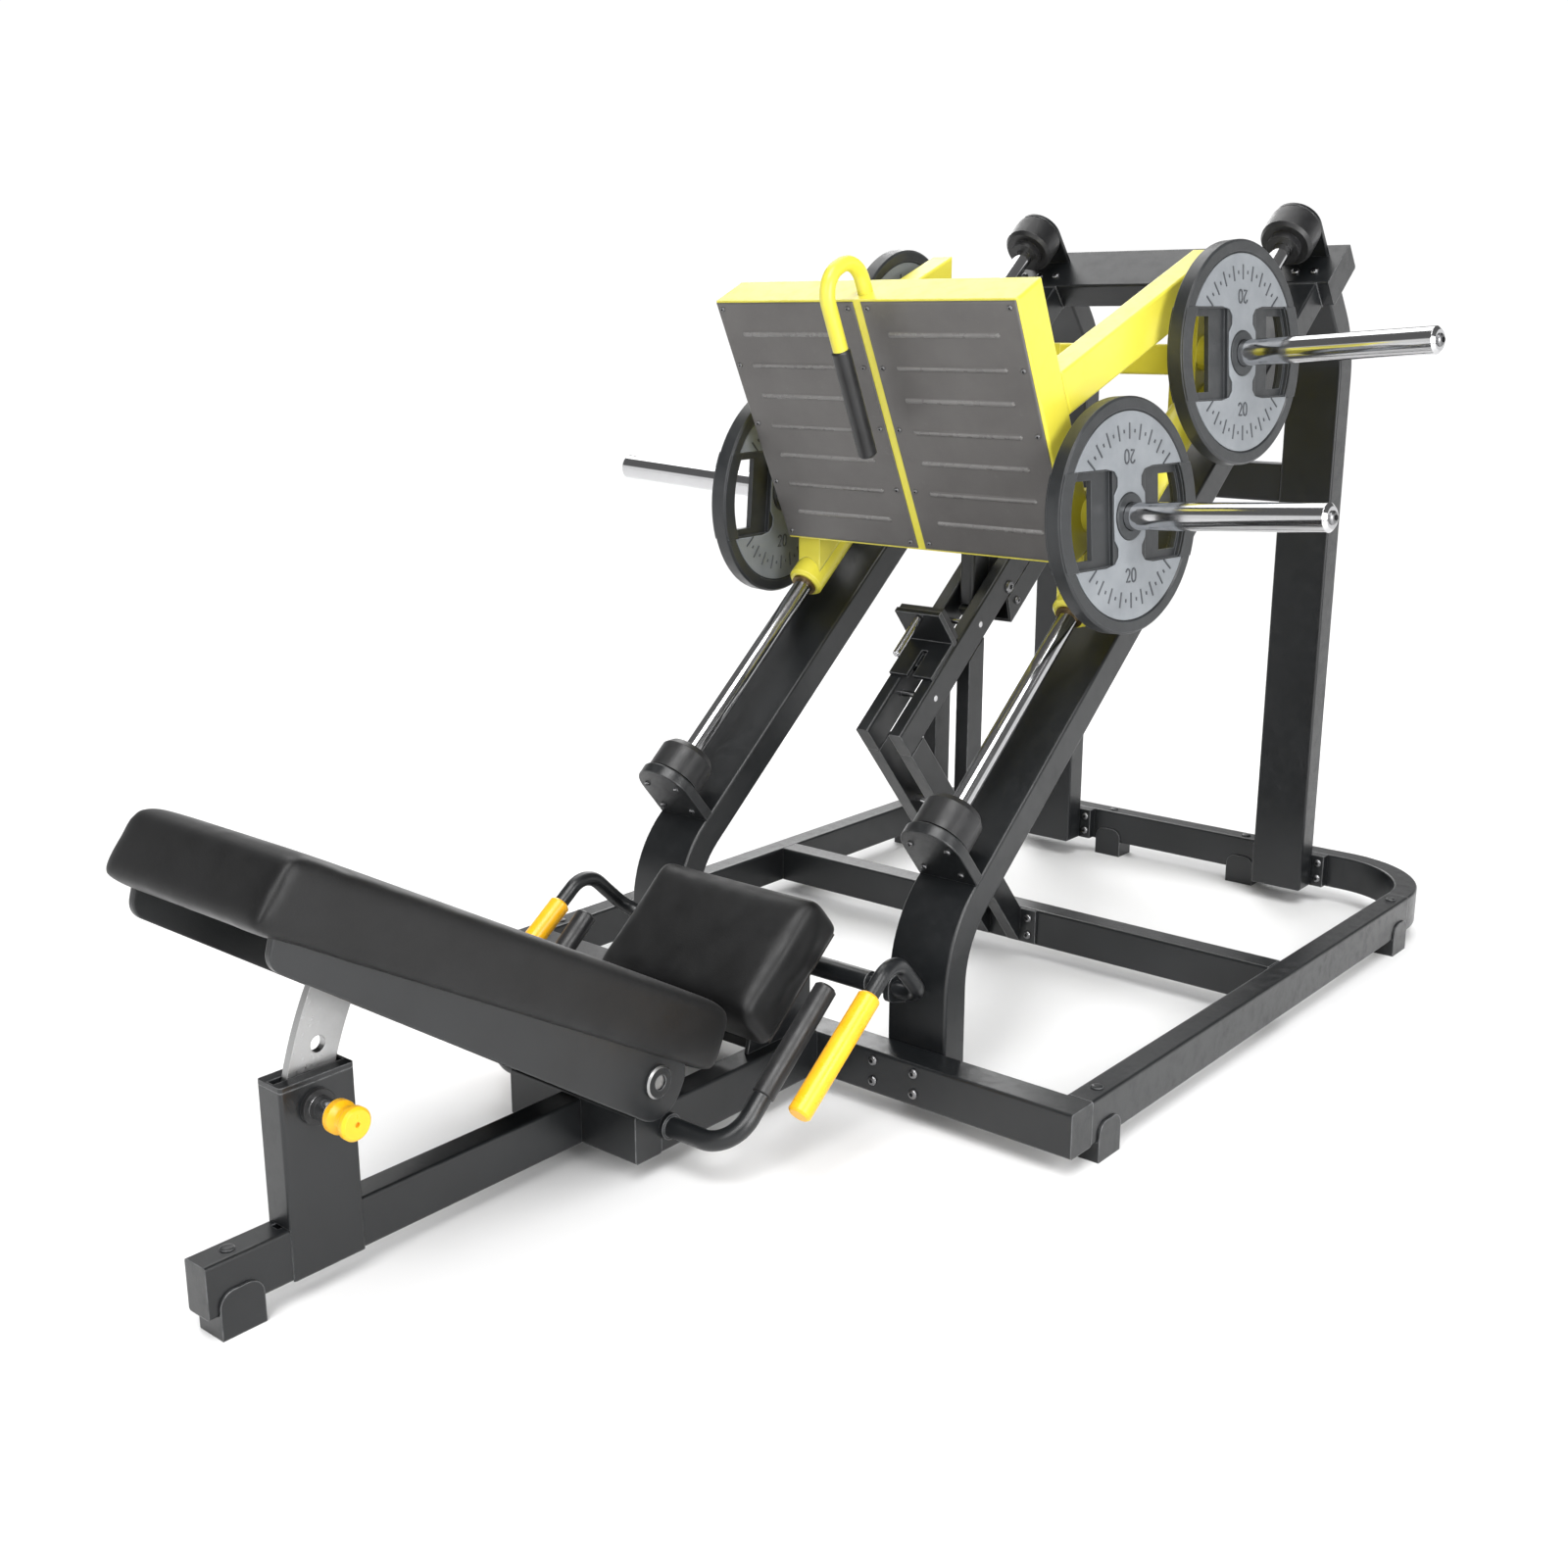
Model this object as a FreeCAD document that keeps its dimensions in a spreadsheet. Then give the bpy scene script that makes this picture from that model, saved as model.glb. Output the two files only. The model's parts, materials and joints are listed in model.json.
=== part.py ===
"""Leg press machine: a sled on two inclined rods, with a hinged backrest and a fixed seat.

Millimetres, +Z up.  X is the machine's width, and +Y runs from the head of the backrest
to the back of the frame.  The origin is on the floor, at the middle of the footprint.
"""
import FreeCAD
import Part
import Sketcher

import math
import os

from FreeCAD import Placement, Rotation, Vector

doc = FreeCAD.newDocument("leg_press_machine")

# ---------------------------------------------------------------- driving dimensions
DIMENSIONS = {
    # where the working datum lies: front face of the front rail, underside of the rails
    "datum_back": -258.6,
    "datum_height": 37,
    "incline": 40,
    # base frame
    "base_half": 674.6,
    "rail_wide": 50,
    "rail_deep": 66,
    "rail_high": 80,
    "rail_corner": 5,
    "base_end": 1671,
    "bend_outer": 233,
    "bend_start": 1430,
    "mid_rail_front": 824.5,
    "mid_rail_deep": 55,
    "spine_half": 24.6,
    "spine_tip": -1157.8,
    "seat_box_front": -463.2,
    "seat_box_half": 148.7,
    "seat_box_high": 84,
    "foot_long": 70,
    "foot_wall": 4,
    "foot_tab": 34,
    # pillar that holds the backrest
    "pillar_half": 27.5,
    "pillar_front": -1023.4,
    "pillar_deep": 123.7,
    "pillar_top": 288,
    "pillar_wall": 4,
    "cap_thick": 8,
    # backrest
    "pivot_back": -427.7,
    "pivot_height": 139.6,
    "recline": 29.7,
    "cheek_outer": 165.8,
    "cheek_thick": 12,
    "cheek_top": 50,
    "cheek_long": 803,
    "pad_half": 187,
    "pad_head": -838,
    "pad_foot": 114,
    "pad_under": 55.3,
    "pad_thick": 95,
    "sector_inner": 512.5,
    "sector_outer": 590,
    "sector_holes": 549.4,
    "sector_thick": 13,
    "sector_pitch": 8.7,
    "sector_first": 189.3,
    "pin_back": -966.2,
    "pin_height": 251,
    # seat
    "seat_half": 188,
    "seat_front": -60,
    "seat_long": 257,
    "seat_under": 207,
    "seat_thick": 97,
    # curved uprights, rods and crossbar
    "upright_inner": 255.6,
    "upright_outer": 379,
    "upright_front": 66,
    "upright_deep": 62,
    "upright_foot": 4,
    "ramp_low": 120,
    "ramp_high": 182,
    "ramp_end": 1942,
    "ramp_bend": 225,
    "crossbar_half": 404,
    "crossbar_deep": 125,
    "end_plate": 4,
    "rear_front": 1534.2,
    "rear_strip": 1977,
    "rear_bend": 158,
    "rod_half": 317.3,
    "rod_high": 261,
    "rod_radius": 19,
    "rod_start": 374,
    "rod_end": 2030,
    "flange_half": 61.7,
    "flange_thick": 22,
    "bumper_radius": 56,
    # sled
    "housing_start": 908.4,
    "housing_end": 1520,
    "housing_radius": 37,
    "bush_wall": 7,
    "tray_top_back": 283,
    "tray_top_height": 1349,
    "tray_slope": 115.3,
    "tray_half": 338.6,
    "tray_long": 515.5,
    "tray_deep": 82,
    "skin_gap": 9,
    "skin_thick": 3,
    "skin_edge": 4,
    "rib_first": 66,
    "rib_run": 385,
    "rib_count": 7,
    "rib_inset": 50,
    "rib_half": 4.5,
    "rib_rise": 2.5,
    "screw_inset": 13,
    "arm_inner": 283.5,
    "arm_deep": 82,
    "leg_front": 929,
    "leg_deep": 62,
    "cross_low": 1209,
    "cross_high": 1268,
    "horn_radius": 25,
    "horn_start": 345,
    "horn_long": 471,
    "horn_park": 90,
    "horn_relief": 0.3,
    "horn_sweep": -0.0936,
    "horn_rise": 0.0713,
    "plate_radius": 212,
    "plate_thick": 34,
    "plate_seat": 44.4,
    "plate_bore_gap": 0.35,
    "plate_edge": 4,
    "plate_rim": 25,
    "plate_hub": 42,
    "web_half": 50,
    "panel_half": 84,
    "panel_radius": 177,
    "panel_deep": 8,
    "window_inner": 104,
    "window_half": 70,
    "window_radius": 170,
    "boss_radius": 34,
    "boss_long": 38,
    "collar_rise": 12,
    "collar_long": 7,
    "tip_radius": 12,
    # central stop frame
    "guide_inner": 24.6,
    "guide_outer": 54.3,
    "guide_start": 629,
    "guide_end": 1230,
    "guide_leg": 50,
    "stop_place": 861,
    "stop_bar_front": 655,
    "stop_bar_deep": 62,
    "stop_bar_half": 17,
    "catch_along": 1066.7,
    "catch_up": 137,
    "spacer_radius": 6,
    "spacer_up": 150.5,
    "spacer_low": 753.5,
    "spacer_high": 950,
    "leg_pin_up": -60,
    "leg_pin_radius": 9,
    "strut_front": 595,
    "strut_rear": 645,
    "channel_start": 1030,
    "channel_end": 1200,
    "channel_floor": 70,
    "channel_wall": 6,
    "axle_radius": 12,
    "cover_radius": 28,
    "cover_rise": 7,
    "cover_gap": 0.4,
    "sector_hole": 12.5,
    "barrel_seat": 14.3,
    "barrel_flange": 27,
    "barrel_radius": 18,
    "barrel_long": 40,
    "pin_radius": 9,
    "pin_gap": 0.3,
    "knob_radius": 25,
    "knob_waist": 19,
    "knob_start": 48,
    "knob_end": 94,
    "bumper_long": 73,
    "cap_long": 78,
    "cap_collar": 35,
    "screw_across": 39,
    "stop_half": 51,
    "stop_foot_long": 91,
    "stop_high": 88,
    # handles
    "handle_radius": 17,
    "handle_grip": 19.5,
    "handle_along": -269.3,
    "handle_up": 282,
    "handle_reach": 285.2,
    "handle_end": 40,
    "handle_bend": 60,
    "lever_radius": 14,
    "lever_grip": 20,
    "lever_back": 35,
    "lever_height": 190,
    "lever_half": 354.5,
    "lever_knee_half": 366,
    "lever_knee_back": -71,
    "lever_knee_height": 296,
    "lever_tip_half": 371,
    "lever_tip_back": -319,
    "lever_tip_height": 109,
    "lever_bend": 50,
    "hook_radius": 14,
    "hook_bend": 48,
    "hook_foot": 30.4,
    "hook_rise": 72.5,
    "hook_crown_back": 186.6,
    "hook_crown_height": 1380.4,
    "hook_end_back": 322.5,
    "hook_end_height": 1078.3,
    "hook_grip": 17.5,
    # screw heads and running clearances
    "bolt_radius": 9,
    "bolt_high": 6,
    "bolt_low_row": 24,
    "bolt_high_row": 62,
    "bolt_across": 43.5,
    "screw_radius": 4.6,
    "screw_high": 3,
    "run_gap": 0.05,
    "pad_corner": 26,
    "pad_edge": 14,
    "board_inset": 14,
    "board_thick": 12,
}


class Size:
    """A length that knows its value and the sheet formula that gives it."""

    def __init__(self, value, text):
        self.value = float(value)
        self.text = text

    def _join(self, other, sign, value):
        return Size(value, f"({self.text} {sign} {size(other).text})")

    def __add__(self, other):
        return self._join(other, "+", self.value + size(other).value)

    def __sub__(self, other):
        return self._join(other, "-", self.value - size(other).value)

    def __mul__(self, other):
        return self._join(other, "*", self.value * size(other).value)

    def __truediv__(self, other):
        return self._join(other, "/", self.value / size(other).value)

    def __radd__(self, other):
        return size(other) + self

    def __rsub__(self, other):
        return size(other) - self

    def __rmul__(self, other):
        return size(other) * self

    def __neg__(self):
        return Size(-self.value, f"(0 - {self.text})")


def size(value):
    """A plain number as a Size; a Size as it is."""
    return value if isinstance(value, Size) else Size(value, f"({float(value):.6g})")


def cosine(angle):
    return Size(math.cos(math.radians(angle.value)), f"cos({angle.text})")


def sine(angle):
    return Size(math.sin(math.radians(angle.value)), f"sin({angle.text})")


sheet = doc.addObject("Spreadsheet::Sheet", "sizes")
for row, (alias, value) in enumerate(DIMENSIONS.items(), start=1):
    sheet.set(f"A{row}", alias)
    sheet.set(f"B{row}", str(value))
    sheet.setAlias(f"B{row}", alias)
doc.recompute()


class Sheet:
    """Every driving dimension as a Size, read back from the sheet."""


dim = Sheet()
for alias in DIMENSIONS:
    setattr(dim, alias, Size(sheet.get(alias), f"sizes.{alias}"))


# ---------------------------------------------------------------- frames to build in
class Frame:
    """A flat grid (a, b) across the machine, turned about X and moved to an origin."""

    def __init__(self, angle, origin_a, origin_b, parent=None):
        self.angle = angle
        self.turn = Rotation(Vector(1, 0, 0), angle.value if angle else 0)
        self.origin = parent.point(origin_a, origin_b) if parent else (origin_a, origin_b)

    def point(self, a, b):
        """The Y and Z of a point given along the frame (a) and square to it (b)."""
        along, across = size(a), size(b)
        if self.angle is None:
            return self.origin[0] + along, self.origin[1] + across
        cos, sin = cosine(self.angle), sine(self.angle)
        return (self.origin[0] + along * cos - across * sin,
                self.origin[1] + along * sin + across * cos)


FLAT = Frame(None, dim.datum_back, dim.datum_height)
RAMP = Frame(dim.incline, size(0), size(0), FLAT)
BACK = Frame(-dim.recline, dim.pivot_back, dim.pivot_height, FLAT)
TRAY = Frame(dim.tray_slope, dim.tray_top_back, dim.tray_top_height, FLAT)
SIDES = (("left", -1), ("right", 1))
AXIS_TURN = {
    "x": Rotation(Vector(0, 1, 0), 90),
    "a": Rotation(Vector(1, 0, 0), -90),
    "b": Rotation(),
}
nodes = []
sets = {}


def cross(frame, a, b):
    """The flat (y, z) of a frame's point, measured from the datum."""
    y, z = frame.point(a, b)
    return y - dim.datum_back, z - dim.datum_height


def place(item, frame, x, a, b, turn=None):
    """Put an object's own origin at (x, a, b) of a frame."""
    item.Placement = Placement(Vector(), frame.turn * (turn or Rotation()))
    y, z = frame.point(a, b)
    for name, value in (("x", size(x)), ("y", y), ("z", z)):
        item.setExpression(f"Placement.Base.{name}", value.text)


def node(item, name):
    """Mark an object as a sub-part of the machine, under its own name."""
    item.Label = name
    nodes.append(item)
    return item


def gather(name, items):
    """Add pieces of one kind, on one moving body, to a sub-part that holds them all."""
    sets.setdefault(name, []).extend(items)


def between(sign, inner, outer):
    """The low X and the width of a stretch that is mirrored with its side."""
    low = inner if sign > 0 else -outer
    return low, outer - inner


# ---------------------------------------------------------------- plain solids
def box(name, frame, x, a, b, wide, along, high):
    item = doc.addObject("Part::Box", name)
    for key, value in (("Length", wide), ("Width", along), ("Height", high)):
        item.setExpression(key, size(value).text)
    place(item, frame, x, a, b)
    return item


def cylinder(name, frame, x, a, b, radius, length, axis="x"):
    item = doc.addObject("Part::Cylinder", name)
    item.setExpression("Radius", size(radius).text)
    item.setExpression("Height", size(length).text)
    place(item, frame, x, a, b, AXIS_TURN[axis])
    return item


def cut(name, base, tool):
    item = doc.addObject("Part::Cut", name)
    item.Base = base
    item.Tool = tool
    return item


def group(name, items):
    item = doc.addObject("Part::Compound", name)
    item.Links = items
    return item


# ---------------------------------------------------------------- PartDesign helpers
def new_body(name):
    return doc.addObject("PartDesign::Body", name)


def new_sketch(body, role, name="outline"):
    sketch = body.newObject("Sketcher::SketchObject", name)
    plane = next(part for part in body.Origin.OriginFeatures if part.Role == role)
    sketch.AttachmentSupport = [(plane, "")]
    sketch.MapMode = "FlatFace"
    return sketch


def hold(sketch, kind, where, value):
    """One driven constraint, bound to the sheet."""
    number = sketch.addConstraint(Sketcher.Constraint(kind, *where, size(value).value))
    sketch.setExpression(f"Constraints[{number}]", size(value).text)


def polygon(sketch, points):
    """A closed outline whose every corner is bound to the sheet."""
    first = sketch.GeometryCount
    corners = [(size(a), size(b)) for a, b in points]
    count = len(corners)
    spots = [Vector(a.value, b.value, 0) for a, b in corners]
    for index in range(count):
        sketch.addGeometry(Part.LineSegment(spots[index], spots[(index + 1) % count]))
    for index in range(count):
        following = first + (index + 1) % count
        sketch.addConstraint(Sketcher.Constraint("Coincident", first + index, 2, following, 1))
    for index, (a, b) in enumerate(corners):
        hold(sketch, "DistanceX", (-1, 1, first + index, 1), a)
        hold(sketch, "DistanceY", (-1, 1, first + index, 1), b)


def circle(sketch, a, b, radius):
    number = sketch.GeometryCount
    a, b, radius = size(a), size(b), size(radius)
    sketch.addGeometry(Part.Circle(Vector(a.value, b.value, 0), Vector(0, 0, 1), radius.value))
    hold(sketch, "Radius", (number,), radius)
    hold(sketch, "DistanceX", (-1, 1, number, 3), a)
    hold(sketch, "DistanceY", (-1, 1, number, 3), b)


def ring_slot(sketch, inner, outer, start, end):
    """A curved slot about the sketch's origin, between two angles in degrees."""
    first = sketch.GeometryCount
    low, high = math.radians(start), math.radians(end)
    for radius in (inner, outer):
        whole = Part.Circle(Vector(), Vector(0, 0, 1), size(radius).value)
        sketch.addGeometry(Part.ArcOfCircle(whole, low, high))
    ends = {}
    for number, radius in ((0, inner), (1, outer)):
        for spot, angle in ((1, low), (2, high)):
            reach = size(radius).value
            ends[number, spot] = Vector(reach * math.cos(angle), reach * math.sin(angle), 0)
    for step, spot in enumerate((1, 2)):
        sketch.addGeometry(Part.LineSegment(ends[0, spot], ends[1, spot]))
        sketch.addConstraint(Sketcher.Constraint("Coincident", first, spot, first + 2 + step, 1))
        sketch.addConstraint(
            Sketcher.Constraint("Coincident", first + 1, spot, first + 2 + step, 2))
    hold(sketch, "Radius", (first,), inner)
    hold(sketch, "Radius", (first + 1,), outer)


def pad(body, sketch, length, name="pad", centred=False, reverse=False):
    feature = body.newObject("PartDesign::Pad", name)
    feature.Profile = sketch
    feature.setExpression("Length", size(length).text)
    feature.SideType = "Symmetric" if centred else "One side"
    feature.Reversed = reverse
    return feature


def pocket(body, sketch, depth, name="pocket"):
    """A pocket that is checked to have taken material away."""
    doc.recompute()
    before = body.Shape.Volume
    feature = body.newObject("PartDesign::Pocket", name)
    feature.Profile = sketch
    feature.setExpression("Length", size(depth).text)
    doc.recompute()
    if body.Shape.Volume > before - 1:
        raise RuntimeError(f"{body.Name}: {name} cuts nothing")
    return feature


def fillet(body, base, radius, picked):
    """Round the edges of a feature for which picked(edge) is true."""
    doc.recompute()
    names = [f"Edge{number}" for number, edge in enumerate(base.Shape.Edges, start=1)
             if picked(edge)]
    feature = body.newObject("PartDesign::Fillet", "round")
    feature.Base = (base, names)
    feature.setExpression("Radius", size(radius).text)
    doc.recompute()
    return feature


def runs_along(direction):
    """A test for straight edges that run along a direction."""
    def test(edge):
        if not isinstance(edge.Curve, Part.Line):
            return False
        return abs(abs(edge.Curve.Direction.dot(direction)) - 1) < 1e-6
    return test


def passes(direction, spot):
    """A test for the straight edge along a direction that passes a point."""
    straight = runs_along(direction)

    def test(edge):
        return straight(edge) and edge.distToShape(Part.Vertex(spot))[0] < 0.5
    return test


def prism(name, frame, x, wide, points, corners=(), edge_round=None):
    """A profile in the (a, b) grid, padded along X; corners are (index, radius)."""
    body = new_body(name)
    sketch = new_sketch(body, "YZ_Plane")
    polygon(sketch, points)
    last = pad(body, sketch, wide)
    for index, radius in corners:
        a, b = points[index]
        spot = Vector(0, size(a).value, size(b).value)
        last = fillet(body, last, radius, passes(Vector(1, 0, 0), spot))
    if edge_round:
        far = size(wide).value
        last = fillet(body, last, edge_round, lambda edge: all(
            min(abs(spot.Point.x), abs(spot.Point.x - far)) < 1e-6
            for spot in edge.Vertexes) and edge.BoundBox.XLength < 1e-6)
    place(body, frame, x, 0, 0)
    return body


def tube_bar(name, frame, x, a, b, wide, along, high, axis):
    """A rectangular steel section with rounded long edges."""
    body = new_body(name)
    plane, first, second, length = {
        "x": ("YZ_Plane", along, high, wide),
        "a": ("XZ_Plane", wide, high, along),
        "b": ("XY_Plane", wide, along, high),
    }[axis]
    sketch = new_sketch(body, plane)
    polygon(sketch, [(0, 0), (first, 0), (first, second), (0, second)])
    base = pad(body, sketch, length, reverse=axis == "a")
    direction = {"x": Vector(1, 0, 0), "a": Vector(0, 1, 0), "b": Vector(0, 0, 1)}[axis]
    fillet(body, base, dim.rail_corner, runs_along(direction))
    place(body, frame, x, a, b)
    return body


def turned(name, profile):
    """A solid turned about its own Z from (radius, height) corners."""
    body = new_body(name)
    sketch = new_sketch(body, "XZ_Plane", "profile")
    polygon(sketch, profile)
    feature = body.newObject("PartDesign::Revolution", "turn")
    feature.Profile = sketch
    feature.ReferenceAxis = (sketch, ["V_Axis"])
    return body


def turned_at(name, profile, frame, x, a, b, axis, sign=1):
    """A turned solid set along an axis of a frame, pointing with the sign."""
    body = turned(name, profile)
    flip = Rotation() if sign > 0 else Rotation(Vector(1, 0, 0), 180)
    place(body, frame, x, a, b, AXIS_TURN[axis] * flip)
    return body


def bolt_head(name, frame, x, a, b, axis, sign=1, radius=dim.bolt_radius, high=dim.bolt_high):
    """A domed screw head standing on a face."""
    profile = [(0, 0), (radius, 0), (radius, high * 0.45), (radius * 0.8, high * 0.8),
               (radius * 0.45, high), (0, high)]
    return turned_at(name, profile, frame, x, a, b, axis, sign)


def bent_rod(name, route, bend, radius):
    """A round bar along straight runs joined by arcs; no sketch plane holds its bends."""
    spots = [Vector(*(size(part).value for part in spot)) for spot in route]
    edges = []
    start = spots[0]
    for before, corner, after in zip(spots, spots[1:], spots[2:]):
        inward = (before - corner).normalize()
        outward = (after - corner).normalize()
        half = inward.getAngle(outward) / 2
        reach = bend / math.tan(half)
        middle = corner + (inward + outward).normalize() * (bend / math.sin(half) - bend)
        arc_start = corner + inward * reach
        arc_end = corner + outward * reach
        edges.append(Part.makeLine(start, arc_start))
        edges.append(Part.Arc(arc_start, middle, arc_end).toShape())
        start = arc_end
    edges.append(Part.makeLine(start, spots[-1]))
    section = Part.Wire(Part.makeCircle(size(radius).value, spots[0], spots[1] - spots[0]))
    item = doc.addObject("Part::Feature", name)
    item.Shape = Part.Wire(edges).makePipeShell([section], True, False)
    return item


def spot(frame, x, a, b):
    """A point of a frame as X, Y and Z in the machine's own frame."""
    return (size(x), *frame.point(a, b))


def sleeve_on(name, start, end, share, radius):
    """A grip over the last run of a bent rod, from a share of its length to past its end."""
    low = Vector(*(part.value for part in start))
    high = Vector(*(part.value for part in end))
    run = high - low
    first = low + run * share
    length = run.Length * (1 - share) + 6
    soft = 4
    body = turned(name, [(0, 0), (radius - soft, 0), (radius, soft), (radius, length - soft),
                         (radius - soft, length), (0, length)])
    body.Placement = Placement(first, Rotation(Vector(0, 0, 1), run))
    return body


# ---------------------------------------------------------------- base frame
def base_frame():
    high = dim.rail_high
    node(tube_bar("front_rail", FLAT, -dim.base_half, 0, 0,
                  dim.base_half * 2, dim.rail_deep, high, "x"), "front_rail")
    rails = []
    for side, sign in SIDES:
        low, wide = between(sign, dim.base_half - dim.rail_wide, dim.base_half)
        rails.append(tube_bar(f"side_rail_{side}", FLAT, low, dim.rail_deep, 0,
                              wide, dim.bend_start - dim.rail_deep, high, "a"))
    gather("side_rails", rails)
    inner = dim.base_half - dim.rail_wide
    node(tube_bar("middle_rail", FLAT, -inner, dim.mid_rail_front, 0,
                  inner * 2, dim.mid_rail_deep, high, "x"), "middle_rail")
    rear_rail()
    spine = tube_bar("spine_blank", FLAT, -dim.spine_half, dim.spine_tip, 0,
                     dim.spine_half * 2, dim.seat_box_front - dim.spine_tip, high, "a")
    slot = box("spine_slot", FLAT, -dim.sector_thick * 0.65, dim.pillar_front - 8, 45,
               dim.sector_thick * 1.3, dim.pillar_deep - 20, high)
    node(cut("spine_rail", spine, slot), "spine_rail")


def rear_rail():
    """The rear rail, bent round both back corners of the base."""
    half, inner = dim.base_half, dim.base_half - dim.rail_wide
    end, start = dim.base_end, dim.bend_start
    body = new_body("rear_rail")
    sketch = new_sketch(body, "XY_Plane")
    outer_corners = [(half, end), (-half, end)]
    inner_corners = [(-inner, end - dim.rail_wide), (inner, end - dim.rail_wide)]
    polygon(sketch, [(half, start), *outer_corners, (-half, start),
                     (-inner, start), *inner_corners, (inner, start)])
    last = pad(body, sketch, dim.rail_high)
    for radius, corners in ((dim.bend_outer, outer_corners),
                            (dim.bend_outer - dim.rail_wide, inner_corners)):
        for x, y in corners:
            place_of = Vector(x.value, y.value, 0)
            last = fillet(body, last, radius, passes(Vector(0, 0, 1), place_of))
    ends = start.value
    fillet(body, last, dim.rail_corner, lambda edge: edge.BoundBox.ZLength < 1e-6
           and edge.BoundBox.YMax > ends + 1)
    place(body, FLAT, 0, 0, 0)
    node(body, "rear_rail")


FOOT_PLACES = (
    # middle x, middle y, whether the rail under it runs along x, rail width
    ("spine", 0, dim.spine_tip + 51, False, dim.spine_half * 2),
    ("front_left", -(dim.base_half - dim.rail_wide / 2), size(120), False, dim.rail_wide),
    ("front_right", dim.base_half - dim.rail_wide / 2, size(120), False, dim.rail_wide),
    ("back_left", -(dim.base_half - dim.rail_wide / 2), size(1388), False, dim.rail_wide),
    ("back_right", dim.base_half - dim.rail_wide / 2, size(1388), False, dim.rail_wide),
    ("rear_left", size(-185), dim.base_end - dim.rail_wide / 2, True, dim.rail_wide),
    ("rear_right", size(185), dim.base_end - dim.rail_wide / 2, True, dim.rail_wide),
)


def feet():
    """Rubber boots that clip under the rails, and the plugs of their screws."""
    clips, plugs = [], []
    for name, x, y, along_x, rail in FOOT_PLACES:
        wide, wall = dim.foot_long, dim.foot_wall
        x, half = size(x), rail / 2
        outline = [(-(half + wall), -dim.datum_height), (half + wall, -dim.datum_height),
                   (half + wall, dim.foot_tab), (half, dim.foot_tab), (half, 0),
                   (-half, 0), (-half, dim.foot_tab), (-(half + wall), dim.foot_tab)]
        body = new_body(f"foot_{name}")
        sketch = new_sketch(body, "YZ_Plane")
        polygon(sketch, outline)
        base = pad(body, sketch, wide, centred=True)
        top = dim.foot_tab.value
        fillet(body, base, 24, lambda edge: edge.BoundBox.XLength < 1e-6
               and edge.BoundBox.ZLength < 1e-6 and abs(edge.BoundBox.ZMax - top) < 1e-6)
        turn = Rotation() if along_x else Rotation(Vector(0, 0, 1), 90)
        place(body, FLAT, x, y, 0, turn)
        clips.append(body)
        plugs.append(bolt_head(f"plug_{name}", FLAT, x, y, dim.rail_high, "b", 1, 11, 4))
    gather("rubber_feet", clips + plugs)


# ---------------------------------------------------------------- seat and its frame
def seat_frame():
    front, half, high = dim.seat_box_front, dim.seat_box_half, dim.seat_box_high
    deep = 60
    beams = [tube_bar("seat_cross_beam", FLAT, -half, front, 0, half * 2, deep, high, "x")]
    brackets = []
    lug_thick, lug_half, back = 14, 34, front + deep
    for side, sign in SIDES:
        low, wide = between(sign, half - dim.rail_wide, half)
        beams.append(tube_bar(f"seat_beam_{side}", FLAT, low, back, 0, wide, -back, high, "a"))
        lug_low, lug_wide = between(sign, half - lug_thick, half)
        pivot, height = dim.pivot_back, dim.pivot_height
        lug = prism(f"lug_{side}", FLAT, lug_low, lug_wide,
                    [(pivot - lug_half, high), (pivot + lug_half, high),
                     (pivot + lug_half * 0.8, height + lug_half * 0.8),
                     (pivot - lug_half * 0.8, height + lug_half * 0.8)],
                    corners=((2, 22), (3, 22)))
        bore = cylinder(f"lug_bore_{side}", FLAT, lug_low - 5, pivot, height, dim.axle_radius, 30)
        brackets.append(cut(f"pivot_lug_{side}", lug, bore))
        under = dim.seat_under - dim.board_thick
        seat_y, seat_z = cross(RAMP, dim.seat_front + 30, under)
        top_y, top_z = cross(RAMP, dim.seat_front + dim.seat_long - 20, under)
        stay_low, stay_wide = between(sign, half - 34, half - 26)
        brackets.append(prism(f"seat_stay_{side}", FLAT, stay_low, stay_wide,
                              [(seat_y - 12, high), (top_y, high), (top_y, top_z),
                               (seat_y, seat_z)]))
    gather("seat_beams", beams)
    gather("seat_brackets", brackets)
    axle = cylinder("pivot_axle", FLAT, -(dim.cheek_outer + 4), dim.pivot_back,
                    dim.pivot_height, dim.axle_radius, (dim.cheek_outer + 4) * 2)
    node(axle, "pivot_axle")


def seat():
    inset, under = dim.board_inset, dim.seat_under
    end, top = dim.seat_front + dim.seat_long, under + dim.seat_thick
    near, far, low = dim.seat_front + inset, end - inset, under - dim.board_thick
    node(prism("seat_board", RAMP, -(dim.seat_half - inset), (dim.seat_half - inset) * 2,
               [(near, low), (far, low), (far, under), (near, under)]), "seat_board")
    node(prism("seat_cushion", RAMP, -dim.seat_half, dim.seat_half * 2,
               [(dim.seat_front, under), (end, under), (end, top), (dim.seat_front, top)],
               corners=((2, dim.pad_corner), (3, dim.pad_corner)), edge_round=dim.pad_edge),
         "seat_cushion")


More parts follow.
